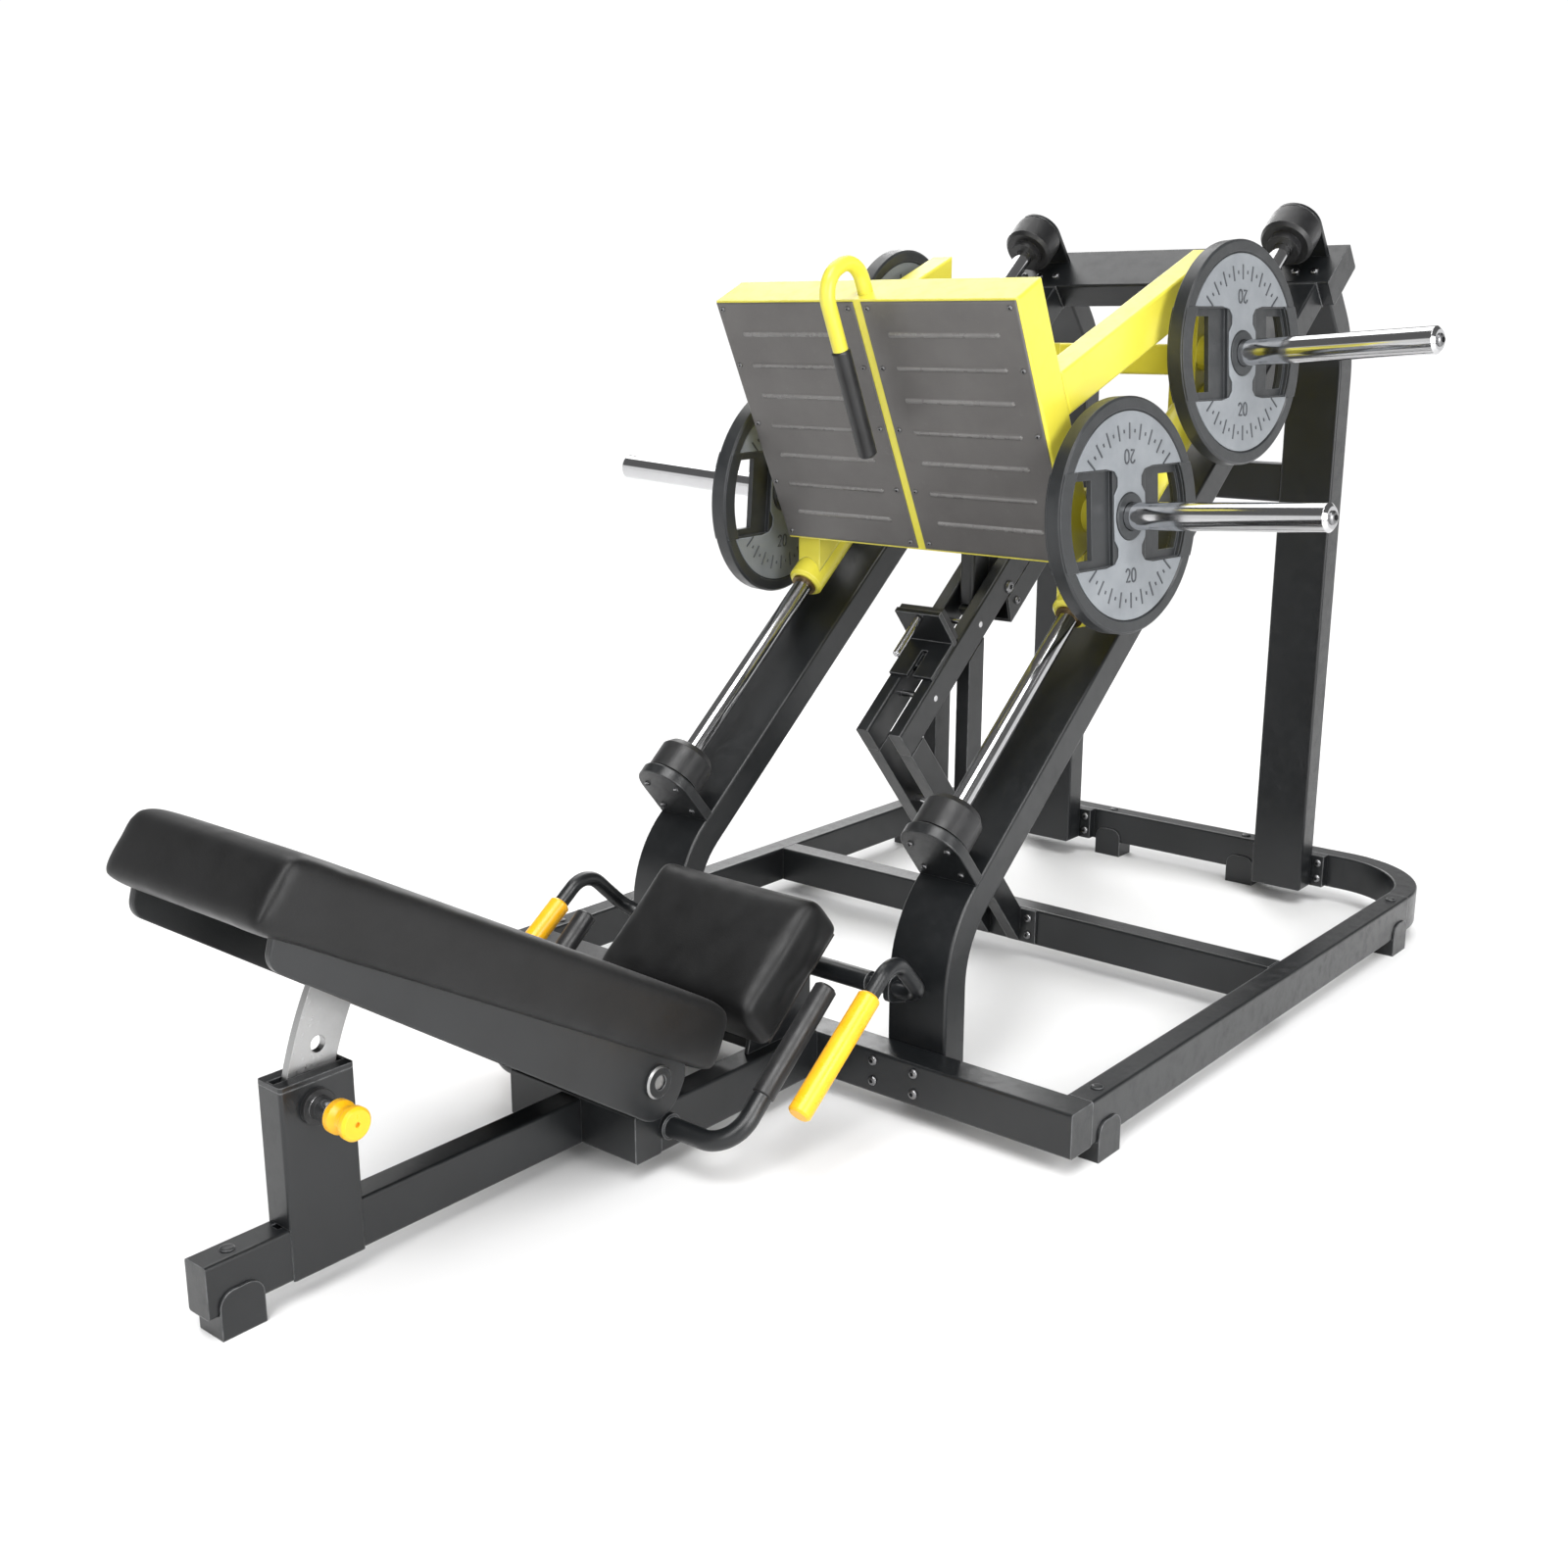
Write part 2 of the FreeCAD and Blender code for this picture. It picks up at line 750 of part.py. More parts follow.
# ---------------------------------------------------------------- backrest
def pillar():
    front, deep, half = dim.pillar_front, dim.pillar_deep, dim.pillar_half
    wall = dim.pillar_wall
    shell = tube_bar("pillar_shell", FLAT, -half, front, 0, half * 2, deep, dim.pillar_top, "b")
    hollow = box("pillar_hollow", FLAT, -(half - wall), front + wall, dim.rail_high,
                 (half - wall) * 2, deep - wall * 2, dim.pillar_top)
    saddle = box("pillar_saddle", FLAT, -dim.spine_half, front - 5, -1,
                 dim.spine_half * 2, deep + 10, dim.rail_high + 1)
    bore = cylinder("pillar_bore", FLAT, 0, dim.pin_back, dim.pin_height, dim.barrel_seat,
                    half + 5)
    open_shell = cut("pillar_open", cut("pillar_stage", shell, hollow), saddle)
    node(cut("seat_pillar", open_shell, bore), "seat_pillar")
    lid = tube_bar("lid_blank", FLAT, -half, front, dim.pillar_top,
                   half * 2, deep, dim.cap_thick, "b")
    slot = box("lid_slot", FLAT, -(dim.sector_thick / 2 + 1.5), front + wall, dim.pillar_top - 1,
               dim.sector_thick + 3, deep - wall * 2, dim.cap_thick + 2)
    node(cut("pillar_cap", lid, slot), "pillar_cap")


def backrest():
    outer, thick, top = dim.cheek_outer, dim.cheek_thick, dim.cheek_top
    cheeks = []
    for side, sign in SIDES:
        low, wide = between(sign, outer - thick, outer)
        cheek = prism(f"cheek_{side}", BACK, low, wide,
                      [(-dim.cheek_long, top), (12 - dim.cheek_long, 1), (64, -71), (64, top)],
                      corners=((1, 28), (2, 60), (3, 40)), edge_round=2)
        bore = cylinder(f"cheek_bore_{side}", BACK, low - 5, 0, 0, 12.05, thick + 10)
        cheeks.append(cut(f"backrest_side_{side}", cheek, bore))
    gather("backrest_sides", cheeks)
    caps = []
    for side, sign in SIDES:
        ring, rise = dim.cover_radius, dim.cover_rise
        hole = dim.axle_radius + dim.cover_gap
        profile = [(hole, 0), (ring, 0), (ring, rise - 3), (ring - 3, rise), (hole, rise)]
        caps.append(turned_at(f"pivot_cap_{side}", profile, BACK, sign * outer, 0, 0, "x", sign))
    gather("pivot_covers", caps)
    node(box("backrest_board", BACK, -outer, 16 - dim.cheek_long, top, outer * 2,
             dim.cheek_long + dim.pad_foot - 36, dim.pad_under - top), "backrest_board")
    head, foot, under = dim.pad_head, dim.pad_foot, dim.pad_under
    high = under + dim.pad_thick
    node(prism("backrest_cushion", BACK, -dim.pad_half, dim.pad_half * 2,
               [(head, under), (foot, under), (foot - 7, high), (head + 14, high)],
               corners=((2, dim.pad_corner), (3, dim.pad_corner)), edge_round=dim.pad_edge),
         "backrest_cushion")
    backrest_sector()


def backrest_sector():
    """The toothless arc that the pop-pin locks, one hole for each position."""
    body = new_body("backrest_sector")
    sketch = new_sketch(body, "YZ_Plane")
    last_hole = dim.sector_first.value + 2 * dim.sector_pitch.value
    ring_slot(sketch, dim.sector_inner, dim.sector_outer, 172, last_hole + 2.5)
    for step in range(3):
        angle = dim.sector_first + dim.sector_pitch * step
        circle(sketch, dim.sector_holes * cosine(angle), dim.sector_holes * sine(angle),
               dim.sector_hole)
    pad(body, sketch, dim.sector_thick, centred=True)
    trim = new_sketch(body, "YZ_Plane", "under_board")
    polygon(trim, [(-700, dim.cheek_top), (-400, dim.cheek_top), (-400, 140), (-700, 140)])
    feature = body.newObject("PartDesign::Pocket", "trim")
    feature.Profile = trim
    feature.Type = "Length"
    feature.setExpression("Length", (dim.sector_thick * 4).text)
    feature.SideType = "Symmetric"
    place(body, BACK, 0, 0, 0)
    node(body, "backrest_sector")


def pop_pin():
    """The spring plunger: a barrel fixed to the pillar, and a pin with a knob."""
    x, y, z = dim.pillar_half, dim.pin_back, dim.pin_height
    seat, flange, shell = dim.barrel_seat, dim.barrel_flange, dim.barrel_radius
    long, bore = dim.barrel_long, dim.pin_radius + dim.pin_gap
    barrel = [(seat, -4), (seat, 0), (flange, 0), (flange, 8), (shell, 8), (shell, long),
              (bore, long), (bore, -4)]
    node(turned_at("pin_barrel", barrel, FLAT, x, y, z, "x"), "pin_barrel")
    radius, knob, waist = dim.pin_radius, dim.knob_radius, dim.knob_waist
    start, end = dim.knob_start, dim.knob_end
    pin = [(0, 9 - x), (6, 9 - x), (radius, 13 - x), (radius, start - 2), (knob, start),
           (knob, start + 10), (waist, start + 18), (waist, end - 20), (knob, end - 12),
           (knob, end - 4), (knob - 4, end), (4, end), (4, end - 6), (0, end - 6)]
    node(turned_at("pin_knob", pin, FLAT, x, y, z, "x"), "pin_knob")


# ---------------------------------------------------------------- side handles
def side_handles():
    bars, grips = [], []
    for side, sign in SIDES:
        along, up, reach = dim.handle_along, dim.handle_up, sign * dim.handle_reach
        route = [spot(RAMP, sign * dim.seat_box_half, along, up),
                 spot(RAMP, reach, along, up), spot(RAMP, reach, dim.handle_end, up)]
        bar = bent_rod(f"side_bar_{side}", route, dim.handle_bend.value, dim.handle_radius)
        bars.append(bar)
        sleeve = sleeve_on(f"sleeve_{side}", route[1], route[2], 0.32, dim.handle_grip)
        grips.append(cut(f"side_grip_{side}", sleeve, bar))
        inner, outer, thick = dim.handle_radius + 0.2, dim.handle_radius + 5, 8
        profile = [(inner, 0), (outer, 0), (outer, thick), (inner, thick)]
        ring = turned_at(f"ring_{side}", profile, RAMP, sign * dim.seat_box_half,
                         along, up, "x", sign)
        bars.append(ring)
    gather("side_handles", bars)
    gather("side_grips", grips)


def release_lever():
    """The bar whose two yellow ends pull the safety catch clear."""
    y, z = dim.lever_back, dim.lever_height
    half = [spot(FLAT, dim.lever_half, y, z),
            spot(FLAT, dim.lever_knee_half, dim.lever_knee_back, dim.lever_knee_height),
            spot(FLAT, dim.lever_tip_half, dim.lever_tip_back, dim.lever_tip_height)]
    mirrored = [(-part[0], part[1], part[2]) for part in reversed(half)]
    bar = bent_rod("lever_bar", mirrored + half, dim.lever_bend.value, dim.lever_radius)
    node(bar, "release_lever")
    grips = []
    for side, sign in SIDES:
        start = (half[1][0] * sign, half[1][1], half[1][2])
        end = (half[2][0] * sign, half[2][1], half[2][2])
        sleeve = sleeve_on(f"lever_sleeve_{side}", start, end, 0.26, dim.lever_grip)
        grips.append(cut(f"lever_grip_{side}", sleeve, bar))
    gather("lever_grips", grips)
    collar = cylinder("collar_blank", FLAT, -240, y, z, dim.lever_radius + 5, 480)
    node(cut("lever_sleeve", collar, bar), "lever_sleeve")
    brackets = []
    for side, sign in SIDES:
        low, wide = between(sign, 282, 294)
        plate = prism(f"lever_plate_{side}", FLAT, low, wide,
                      [(y - 20, z - 20), (dim.upright_front, z - 34), (dim.upright_front, z + 34),
                       (y - 20, z + 20)], corners=((0, 16), (3, 16)))
        bore = cylinder(f"lever_bore_{side}", FLAT, low - 2, y, z, dim.lever_radius + dim.run_gap, 20)
        brackets.append(cut(f"lever_hanger_{side}", plate, bore))
    gather("mount_plates", brackets)


# ---------------------------------------------------------------- uprights and crossbar
def uprights():
    front, deep = dim.upright_front, dim.upright_deep
    cos, sin = cosine(dim.incline), sine(dim.incline)
    foot = dim.upright_foot
    knee_front = (dim.ramp_high + front * sin) / cos
    knee_rear = (dim.ramp_low + (front + deep) * sin) / cos
    end_low = cross(RAMP, dim.ramp_end, dim.ramp_low)
    end_high = cross(RAMP, dim.ramp_end, dim.ramp_high)
    profile = [(front, foot), (front + deep, foot), (front + deep, knee_rear),
               end_low, end_high, (front, knee_front)]
    curved, rear, plates = [], [], []
    for side, sign in SIDES:
        low, wide = between(sign, dim.upright_inner, dim.upright_outer)
        curved.append(prism(f"curved_upright_{side}", FLAT, low, wide, profile,
                            corners=((5, dim.ramp_bend), (2, dim.ramp_bend - deep)),
                            edge_round=dim.rail_corner))
        plates.append(box(f"end_plate_{side}", RAMP, low, dim.ramp_end, dim.ramp_low,
                          wide, dim.end_plate, deep))
        rear.append(rear_upright(side, sign))
        plates.append(rear_mount(side, sign))
        lug_low, lug_wide = between(sign, dim.guide_outer, size(93))
        plates.append(box(f"stop_lug_{side}", FLAT, lug_low, dim.mid_rail_front - 6, foot,
                          lug_wide, 6, 75))
    gather("curved_uprights", curved)
    gather("rear_uprights", rear)
    gather("mount_plates", plates)
    node(tube_bar("top_crossbar", RAMP, -dim.crossbar_half, dim.ramp_end + dim.end_plate,
                  dim.ramp_low, dim.crossbar_half * 2, dim.crossbar_deep, deep, "x"),
         "top_crossbar")
    node(tube_bar("rear_brace", FLAT, -dim.upright_inner, dim.rear_front + 6, 912,
                  dim.upright_inner * 2, 50, 86, "x"), "rear_brace")


def rear_upright(side, sign):
    front, deep = dim.rear_front, dim.upright_deep
    cos, sin = cosine(dim.incline), sine(dim.incline)
    strip = dim.rear_strip
    front_knee = (strip - front * cos) / sin
    rear_knee = (strip + deep - (front + deep) * cos) / sin
    low, wide = between(sign, dim.upright_inner, dim.upright_outer)
    foot = dim.upright_foot
    profile = [(front, foot), (front + deep, foot), (front + deep, rear_knee),
               cross(RAMP, strip + deep, dim.ramp_low), cross(RAMP, strip, dim.ramp_low),
               (front, front_knee)]
    return prism(f"rear_upright_{side}", FLAT, low, wide, profile,
                 corners=((5, dim.rear_bend), (2, dim.rear_bend + deep)),
                 edge_round=dim.rail_corner)


def rear_mount(side, sign):
    """The block that joins a rear upright's foot to the rear rail."""
    back, foot = dim.rear_front + dim.upright_deep, dim.upright_foot
    low, wide = between(sign, dim.upright_inner - 28, dim.upright_outer + 28)
    return box(f"rear_mount_{side}", FLAT, low, back, foot, wide,
               dim.base_end - dim.rail_wide - back, dim.rail_high - foot)


def bolts():
    """Every domed bolt head of the frame."""
    heads = []
    for _, sign in SIDES:
        for x in (dim.rod_half - dim.bolt_across, dim.rod_half + dim.bolt_across):
            for z in (dim.bolt_low_row, dim.bolt_high_row):
                heads.append(("front", FLAT, x * sign, 0, z, "a", -1))
        for x in (dim.upright_inner - 14, dim.upright_outer + 14):
            for z in (dim.bolt_low_row, dim.bolt_high_row):
                heads.append(("rear", FLAT, x * sign, dim.rear_front + dim.upright_deep, z,
                              "a", -1))
        for z in (22, 60):
            heads.append(("mount", FLAT, 74 * sign, dim.mid_rail_front - 6, z, "a", -1))
        for x in (-dim.bolt_across, 0, dim.bolt_across):
            heads.append(("beam", RAMP, (dim.rod_half + x) * sign, dim.ramp_end + 40,
                          dim.ramp_high, "b", 1))
        heads.append(("pivot", RAMP, dim.guide_outer * sign, dim.catch_along, dim.catch_up,
                      "x", sign, 13))
        heads.append(("catch", RAMP, dim.guide_outer * sign, 1071, 93, "x", sign, 8))
    items = [bolt_head(f"bolt_{kind}_{index}", *rest)
             for index, (kind, *rest) in enumerate(heads)]
    gather("frame_bolts", items)


def flange_outline(sketch_body, half):
    """A D-shaped flange: a flat foot on the ramp and a round top about the rod."""
    sketch = new_sketch(sketch_body, "XZ_Plane")
    rise = dim.rod_high - dim.ramp_high
    first = sketch.GeometryCount
    polygon_points = [(-half, rise), (-half, 0), (half, 0), (half, rise)]
    spots = [Vector(size(x).value, size(z).value, 0) for x, z in polygon_points]
    for start, end in zip(spots, spots[1:]):
        sketch.addGeometry(Part.LineSegment(start, end))
    round_top = Part.Circle(Vector(0, rise.value, 0), Vector(0, 0, 1), half.value)
    sketch.addGeometry(Part.ArcOfCircle(round_top, 0, math.pi))
    for index in range(2):
        sketch.addConstraint(
            Sketcher.Constraint("Coincident", first + index, 2, first + index + 1, 1))
    sketch.addConstraint(Sketcher.Constraint("Coincident", first + 2, 2, first + 3, 1))
    sketch.addConstraint(Sketcher.Constraint("Coincident", first + 3, 2, first, 1))
    for line, (x, z) in zip(range(3), polygon_points):
        hold(sketch, "DistanceX", (-1, 1, first + line, 1), x)
        hold(sketch, "DistanceY", (-1, 1, first + line, 1), z)
    hold(sketch, "DistanceX", (-1, 1, first + 2, 2), half)
    hold(sketch, "DistanceY", (-1, 1, first + 3, 3), rise)
    return sketch


def rods():
    """Guide rods with the flange, rubber bumper and cap that hold each of them."""
    guides, flanges, bumpers, caps, screws = [], [], [], [], []
    upper_thick = size(10)
    for side, sign in SIDES:
        x = dim.rod_half * sign
        guides.append(cylinder(f"guide_rod_{side}", RAMP, x, dim.rod_start, dim.rod_high,
                               dim.rod_radius, dim.rod_end - dim.rod_start, "a"))
        for name, along, thick, half in (
                ("lower_flange", dim.rod_start - dim.flange_thick, dim.flange_thick,
                 dim.flange_half),
                ("upper_flange", dim.rod_end, upper_thick, dim.flange_half - 8)):
            body = new_body(f"{name}_{side}")
            base = pad(body, flange_outline(body, half), thick, reverse=True)
            fillet(body, base, 2, lambda edge: edge.BoundBox.YLength < 1e-6
                   and edge.BoundBox.ZMax > 1)
            place(body, RAMP, x, along, dim.ramp_high)
            flanges.append(body)
        radius, bore = dim.bumper_radius, dim.rod_radius + 0.05
        long = dim.bumper_long
        bumper = [(bore, 0), (radius - 4, 0), (radius - 4, 4), (radius, 4), (radius, long - 13),
                  (radius - 9, long), (bore, long)]
        bumpers.append(turned_at(f"rubber_bumper_{side}", bumper, RAMP, x, dim.rod_start,
                                 dim.rod_high, "a"))
        deep, collar = dim.cap_long, dim.cap_collar
        cap = [(bore, -deep), (collar, -deep), (collar, 16 - deep), (radius - 6, 16 - deep),
               (radius, 24 - deep), (radius, -4), (radius - 4, -4), (radius - 4, 0), (bore, 0)]
        caps.append(turned_at(f"rod_cap_{side}", cap, RAMP, x, dim.rod_end, dim.rod_high, "a"))
        for across in (-dim.screw_across, dim.screw_across):
            for up in (207.5, 275.4):
                screws.append((x + across, dim.rod_start - dim.flange_thick, up, -1))
                screws.append((x + across * 0.8, dim.rod_end + upper_thick, up, 1))
    items = [bolt_head(f"flange_screw_{index}", RAMP, x, along, up, "a", sign, 6, 4)
             for index, (x, along, up, sign) in enumerate(screws)]
    gather("guide_rods", guides)
    gather("rod_flanges", flanges)
    gather("rubber_bumpers", bumpers)
    gather("rod_caps", caps)
    gather("frame_bolts", items)


# ---------------------------------------------------------------- central stop frame
def stop_frame():
    pins = []
    for name, along, up, radius in (
            ("low", dim.spacer_low, dim.spacer_up, dim.spacer_radius),
            ("high", dim.spacer_high, dim.spacer_up, dim.spacer_radius),
            ("pivot", dim.catch_along, dim.catch_up, dim.spacer_radius + 2)):
        pins.append(cylinder(f"spacer_{name}", RAMP, -dim.guide_outer, along, up, radius,
                             dim.guide_outer * 2))
    leg_pin = cylinder("spacer_leg", RAMP, -dim.guide_inner, dim.guide_start + 24,
                       dim.leg_pin_up, dim.leg_pin_radius, dim.guide_inner * 2)
    pin_group = group("spacer_pin_set", pins + [leg_pin])
    node(pin_group, "spacer_pins")
    rails, legs = [], []
    mid, low = dim.mid_rail_front, dim.upright_foot
    for side, sign in SIDES:
        x, wide = between(sign, dim.guide_inner, dim.guide_outer)
        bar = tube_bar(f"guide_blank_{side}", RAMP, x, dim.guide_start, dim.ramp_low, wide,
                       dim.guide_end - dim.guide_start, dim.ramp_high - dim.ramp_low, "a")
        rails.append(cut(f"stop_rail_{side}", bar, pin_group))
        cos, sin = cosine(dim.incline), sine(dim.incline)
        near, far = dim.guide_start, dim.guide_start + dim.guide_leg
        front_top, rear_top = cross(RAMP, near, dim.ramp_low), cross(RAMP, far, dim.ramp_low)
        toe = (near - low * sin) / cos
        legs.append(prism(f"stop_leg_{side}", FLAT, x, wide,
                          [front_top, (toe, low), (mid, low), (mid, (far - mid * cos) / sin),
                           rear_top]))
        strut_front, strut_rear = dim.strut_front, dim.strut_rear
        legs.append(prism(f"stop_strut_{side}", FLAT, x, wide,
                          [(strut_front, (far - strut_front * cos) / sin),
                           (strut_rear, (far - strut_rear * cos) / sin),
                           (strut_rear, (dim.ramp_low + strut_rear * sin) / cos),
                           (strut_front, (dim.ramp_low + strut_front * sin) / cos)]))
    gather("stop_rails", rails)
    gather("stop_legs", legs)
    start, end, floor = dim.channel_start, dim.channel_end, dim.channel_floor
    channel = prism("channel_blank", RAMP, -dim.guide_outer, dim.guide_outer * 2,
                    [(start, floor), (end, floor), (end, dim.ramp_low),
                     (start + 22, dim.ramp_low)])
    hollow = dim.guide_outer - dim.channel_wall
    inside = box("channel_inside", RAMP, -hollow, start - 30, floor + dim.channel_wall,
                 hollow * 2, end - start + 60, dim.ramp_low - floor)
    node(cut("channel_shell", channel, inside), "catch_channel")


def safety_catch():
    """The catch between the guide rails, drawn just clear of the sled's stop bar."""
    along, up = dim.catch_along, dim.catch_up
    hook = prism("hook_blank", RAMP, -14, 28,
                 [(along - 88, up - 2), (along - 88, up + 18), (along - 66, up + 18),
                  (along - 20, up + 12), (along + 14, up + 14), (along + 40, up - 30),
                  (along + 18, up - 36), (along - 14, up - 16)],
                 corners=((0, 4), (1, 3), (4, 8)))
    bore = cylinder("hook_bore", RAMP, -20, along, up, 8.05, 40)
    node(cut("safety_catch", hook, bore), "safety_catch")


def stop_block():
    along, top = dim.stop_place, dim.ramp_high + 0.4
    half, long, high, thick = dim.stop_half, dim.stop_foot_long, dim.stop_high, 11
    foot = box("foot_blank", RAMP, -half, along - long, top, half * 2, long, 8)
    slot = box("stop_slot", RAMP, -7, along - long - 1, top - 1, 14, 66, 10)
    plate = prism("stop_plate", RAMP, -(half + 2), (half + 2) * 2,
                  [(along, top), (along + thick, top), (along + thick, top + high),
                   (along, top + high)])
    keel = box("stop_keel", RAMP, -22, along - 60, dim.ramp_high - 20, 44, 30, 20.4)
    gather("stop_bracket", [cut("stop_foot", foot, slot), plate, keel])
    node(box("rubber_blank", RAMP, -half, along + thick, top + 4, half * 2, 13, high - 8),
         "stop_rubber")
    pull = [(0, 0), (5, 0), (8, 3), (8, 96), (0, 96)]
    node(turned_at("stop_pin", pull, RAMP, 0, along - 98, 257, "a"), "stop_pin")


# ---------------------------------------------------------------- sled
def tray():
    half, deep = dim.tray_half, dim.tray_deep
    node(prism("footplate_tray", TRAY, -half, half * 2,
               [(-dim.tray_long, -deep), (0, -deep), (0, 0), (-dim.tray_long, 0)],
               edge_round=6), "footplate_tray")
    rows = (16, 131, 255, 384, 498)
    edge = dim.skin_edge
    skins, screws = [], []
    for side, sign in SIDES:
        inner, outer = dim.skin_gap, half - edge
        wide = outer - inner
        x, _ = between(sign, inner, outer)
        body = new_body(f"skin_{side}")
        sketch = new_sketch(body, "XY_Plane")
        foot = edge - dim.tray_long
        polygon(sketch, [(0, foot), (wide, foot), (wide, -edge), (0, -edge)])
        pad(body, sketch, dim.skin_thick)
        rib_sketch = new_sketch(body, "XY_Plane", "rib")
        near, far = dim.rib_inset, wide - dim.rib_inset
        low, high = -(dim.rib_first + dim.rib_half), dim.rib_half - dim.rib_first
        polygon(rib_sketch, [(near, low), (far, low), (far, high), (near, high)])
        rib_pad = pad(body, rib_sketch, dim.skin_thick + dim.rib_rise, "rib_pad")
        pattern = body.newObject("PartDesign::LinearPattern", "ribs")
        pattern.Originals = [rib_pad]
        pattern.Direction = (rib_sketch, ["V_Axis"])
        pattern.Reversed = True
        pattern.setExpression("Length", dim.rib_run.text)
        pattern.setExpression("Occurrences", dim.rib_count.text)
        body.Tip = pattern
        place(body, TRAY, x, 0, 0)
        skins.append(body)
        for row in rows:
            for column in (inner + dim.screw_inset, outer - dim.screw_inset):
                screws.append((column * sign, -row))
    items = [bolt_head(f"skin_screw_{index}", TRAY, x, up, dim.skin_thick, "b", 1,
                       dim.screw_radius, dim.screw_high)
             for index, (x, up) in enumerate(screws)]
    gather("footplate_skins", skins)
    gather("sled_screws", items)


def sled_frame():
    """The sled's arms, legs and cross tubes, all behind the footplate."""
    inner, outer = dim.arm_inner, dim.tray_half
    rear = dim.leg_front + dim.leg_deep
    slope = dim.tray_slope
    top_y, top_z = size(451), size(1191.5)
    rise_cos, rise_sin = sine(slope), -cosine(slope)
    tan = rise_sin / rise_cos
    step = dim.arm_deep / rise_cos

    def tray_back(z):
        """The Y of the tray's back face at a height."""
        y, height = cross(TRAY, 0, -dim.tray_deep)
        return y + (height - z) * (cosine(slope) / sine(slope)) * -1

    def arm_top(y):
        return top_z + (y - top_y) * tan

    start_high = cross(TRAY, -175, -dim.tray_deep)
    start_low = cross(TRAY, size(-175) - dim.arm_deep, -dim.tray_deep)
    arms, legs = [], []
    for side, sign in SIDES:
        x, wide = between(sign, inner, outer)
        arms.append(prism(f"sled_arm_{side}", FLAT, x, wide,
                          [start_low, (rear, arm_top(rear) - step), (rear, arm_top(rear)),
                           start_high], edge_round=dim.rail_corner))
        bore = cylinder(f"housing_tool_{side}", RAMP, dim.rod_half * sign,
                        dim.housing_start - 50, dim.rod_high, dim.housing_radius + 0.1,
                        dim.housing_end - dim.housing_start + 120, "a")
        cos, sin = cosine(dim.incline), sine(dim.incline)

        def ramp_height(y):
            """The height of the rod's axis plane above a Y."""
            return (dim.rod_high + 8 + y * sin) / cos

        leg = prism(f"rear_leg_blank_{side}", FLAT, x, wide,
                    [(dim.leg_front, ramp_height(dim.leg_front)), (rear, ramp_height(rear)),
                     (rear, arm_top(rear) - step), (dim.leg_front, arm_top(dim.leg_front) - step)])
        legs.append(cut(f"rear_leg_{side}", leg, bore))
        knee = cross(TRAY, -dim.tray_long, -dim.tray_deep)
        toe = cross(TRAY, -dim.tray_long, -36)
        lip = size(1015)
        fore = prism(f"front_leg_blank_{side}", FLAT, x, wide,
                     [(toe[0], ramp_height(toe[0])), toe, knee, (tray_back(lip), lip),
                      (knee[0] + 4, lip), (size(604), size(985)), (size(604), ramp_height(604))])
        legs.append(cut(f"front_leg_{side}", fore, bore))
    gather("sled_arms", arms)
    gather("sled_legs", legs)
    cross_tube = tube_bar("cross_tube", FLAT, -inner, dim.leg_front, dim.cross_low, inner * 2,
                          dim.leg_deep, dim.cross_high - dim.cross_low, "x")
    low, high = dim.cross_low, dim.cross_high
    centre_beam = prism("centre_beam", FLAT, -31, 62,
                        [(tray_back(low), low), (dim.leg_front, low), (dim.leg_front, high),
                         (tray_back(high), high)])
    gather("sled_cross_members", [cross_tube, centre_beam])
    front, deep = dim.stop_bar_front, dim.stop_bar_deep
    sin, cos = sine(dim.incline), cosine(dim.incline)
    bar_half, clear, back = dim.stop_bar_half, dim.ramp_high - 22, front + deep
    node(prism("sled_stop_bar", FLAT, -bar_half, bar_half * 2,
               [(front, (clear + front * sin) / cos), (back, (clear + back * sin) / cos),
                (back, low), (front, low)], edge_round=8), "sled_stop_bar")


def housings():
    """Bearing housings on the rods, each with a plain bush pressed into both ends."""
    shells, bushes = [], []
    for side, sign in SIDES:
        x, radius = dim.rod_half * sign, dim.housing_radius
        long = dim.housing_end - dim.housing_start
        bush_outer = dim.rod_radius + dim.bush_wall
        housing = [(bush_outer, 0), (radius - 6, 0), (radius, 6), (radius, long - 6),
                   (radius - 6, long), (bush_outer, long)]
        shells.append(turned_at(f"rod_housing_{side}", housing, RAMP, x, dim.housing_start,
                                dim.rod_high, "a"))
        bore = dim.rod_radius + dim.run_gap
        for end, along in (("low", dim.housing_start - 5), ("high", dim.housing_end - 85)):
            lip = [(bore, 0), (bush_outer, 0), (bush_outer, 90), (bore, 90)]
            bushes.append(turned_at(f"bush_{end}_{side}", lip, RAMP, x, along, dim.rod_high, "a"))
    gather("rod_housings", shells)
    gather("rod_bushes", bushes)


HORNS = (("front", 551.4, 971.9), ("rear", 960.3, 1251.0))


def horn_turn(sign):
    """The turn that lays a horn's own Z along its outward, slightly rising axis."""
    axis = Vector(sign, dim.horn_sweep.value, dim.horn_rise.value)
    return Rotation(Vector(), Vector(0, 0, 1), axis, "ZYX")


def on_horn(item, sign, y, z):
    """Set a turned solid on a horn, its own origin at the horn's root."""
    back = dim.horn_start - 405
    item.Placement = Placement(Vector(), horn_turn(sign))
    base = {"x": dim.horn_start * sign, "y": dim.datum_back + y + dim.horn_sweep * back,
            "z": dim.datum_height + z + dim.horn_rise * back}
    for name, value in base.items():
        item.setExpression(f"Placement.Base.{name}", value.text)


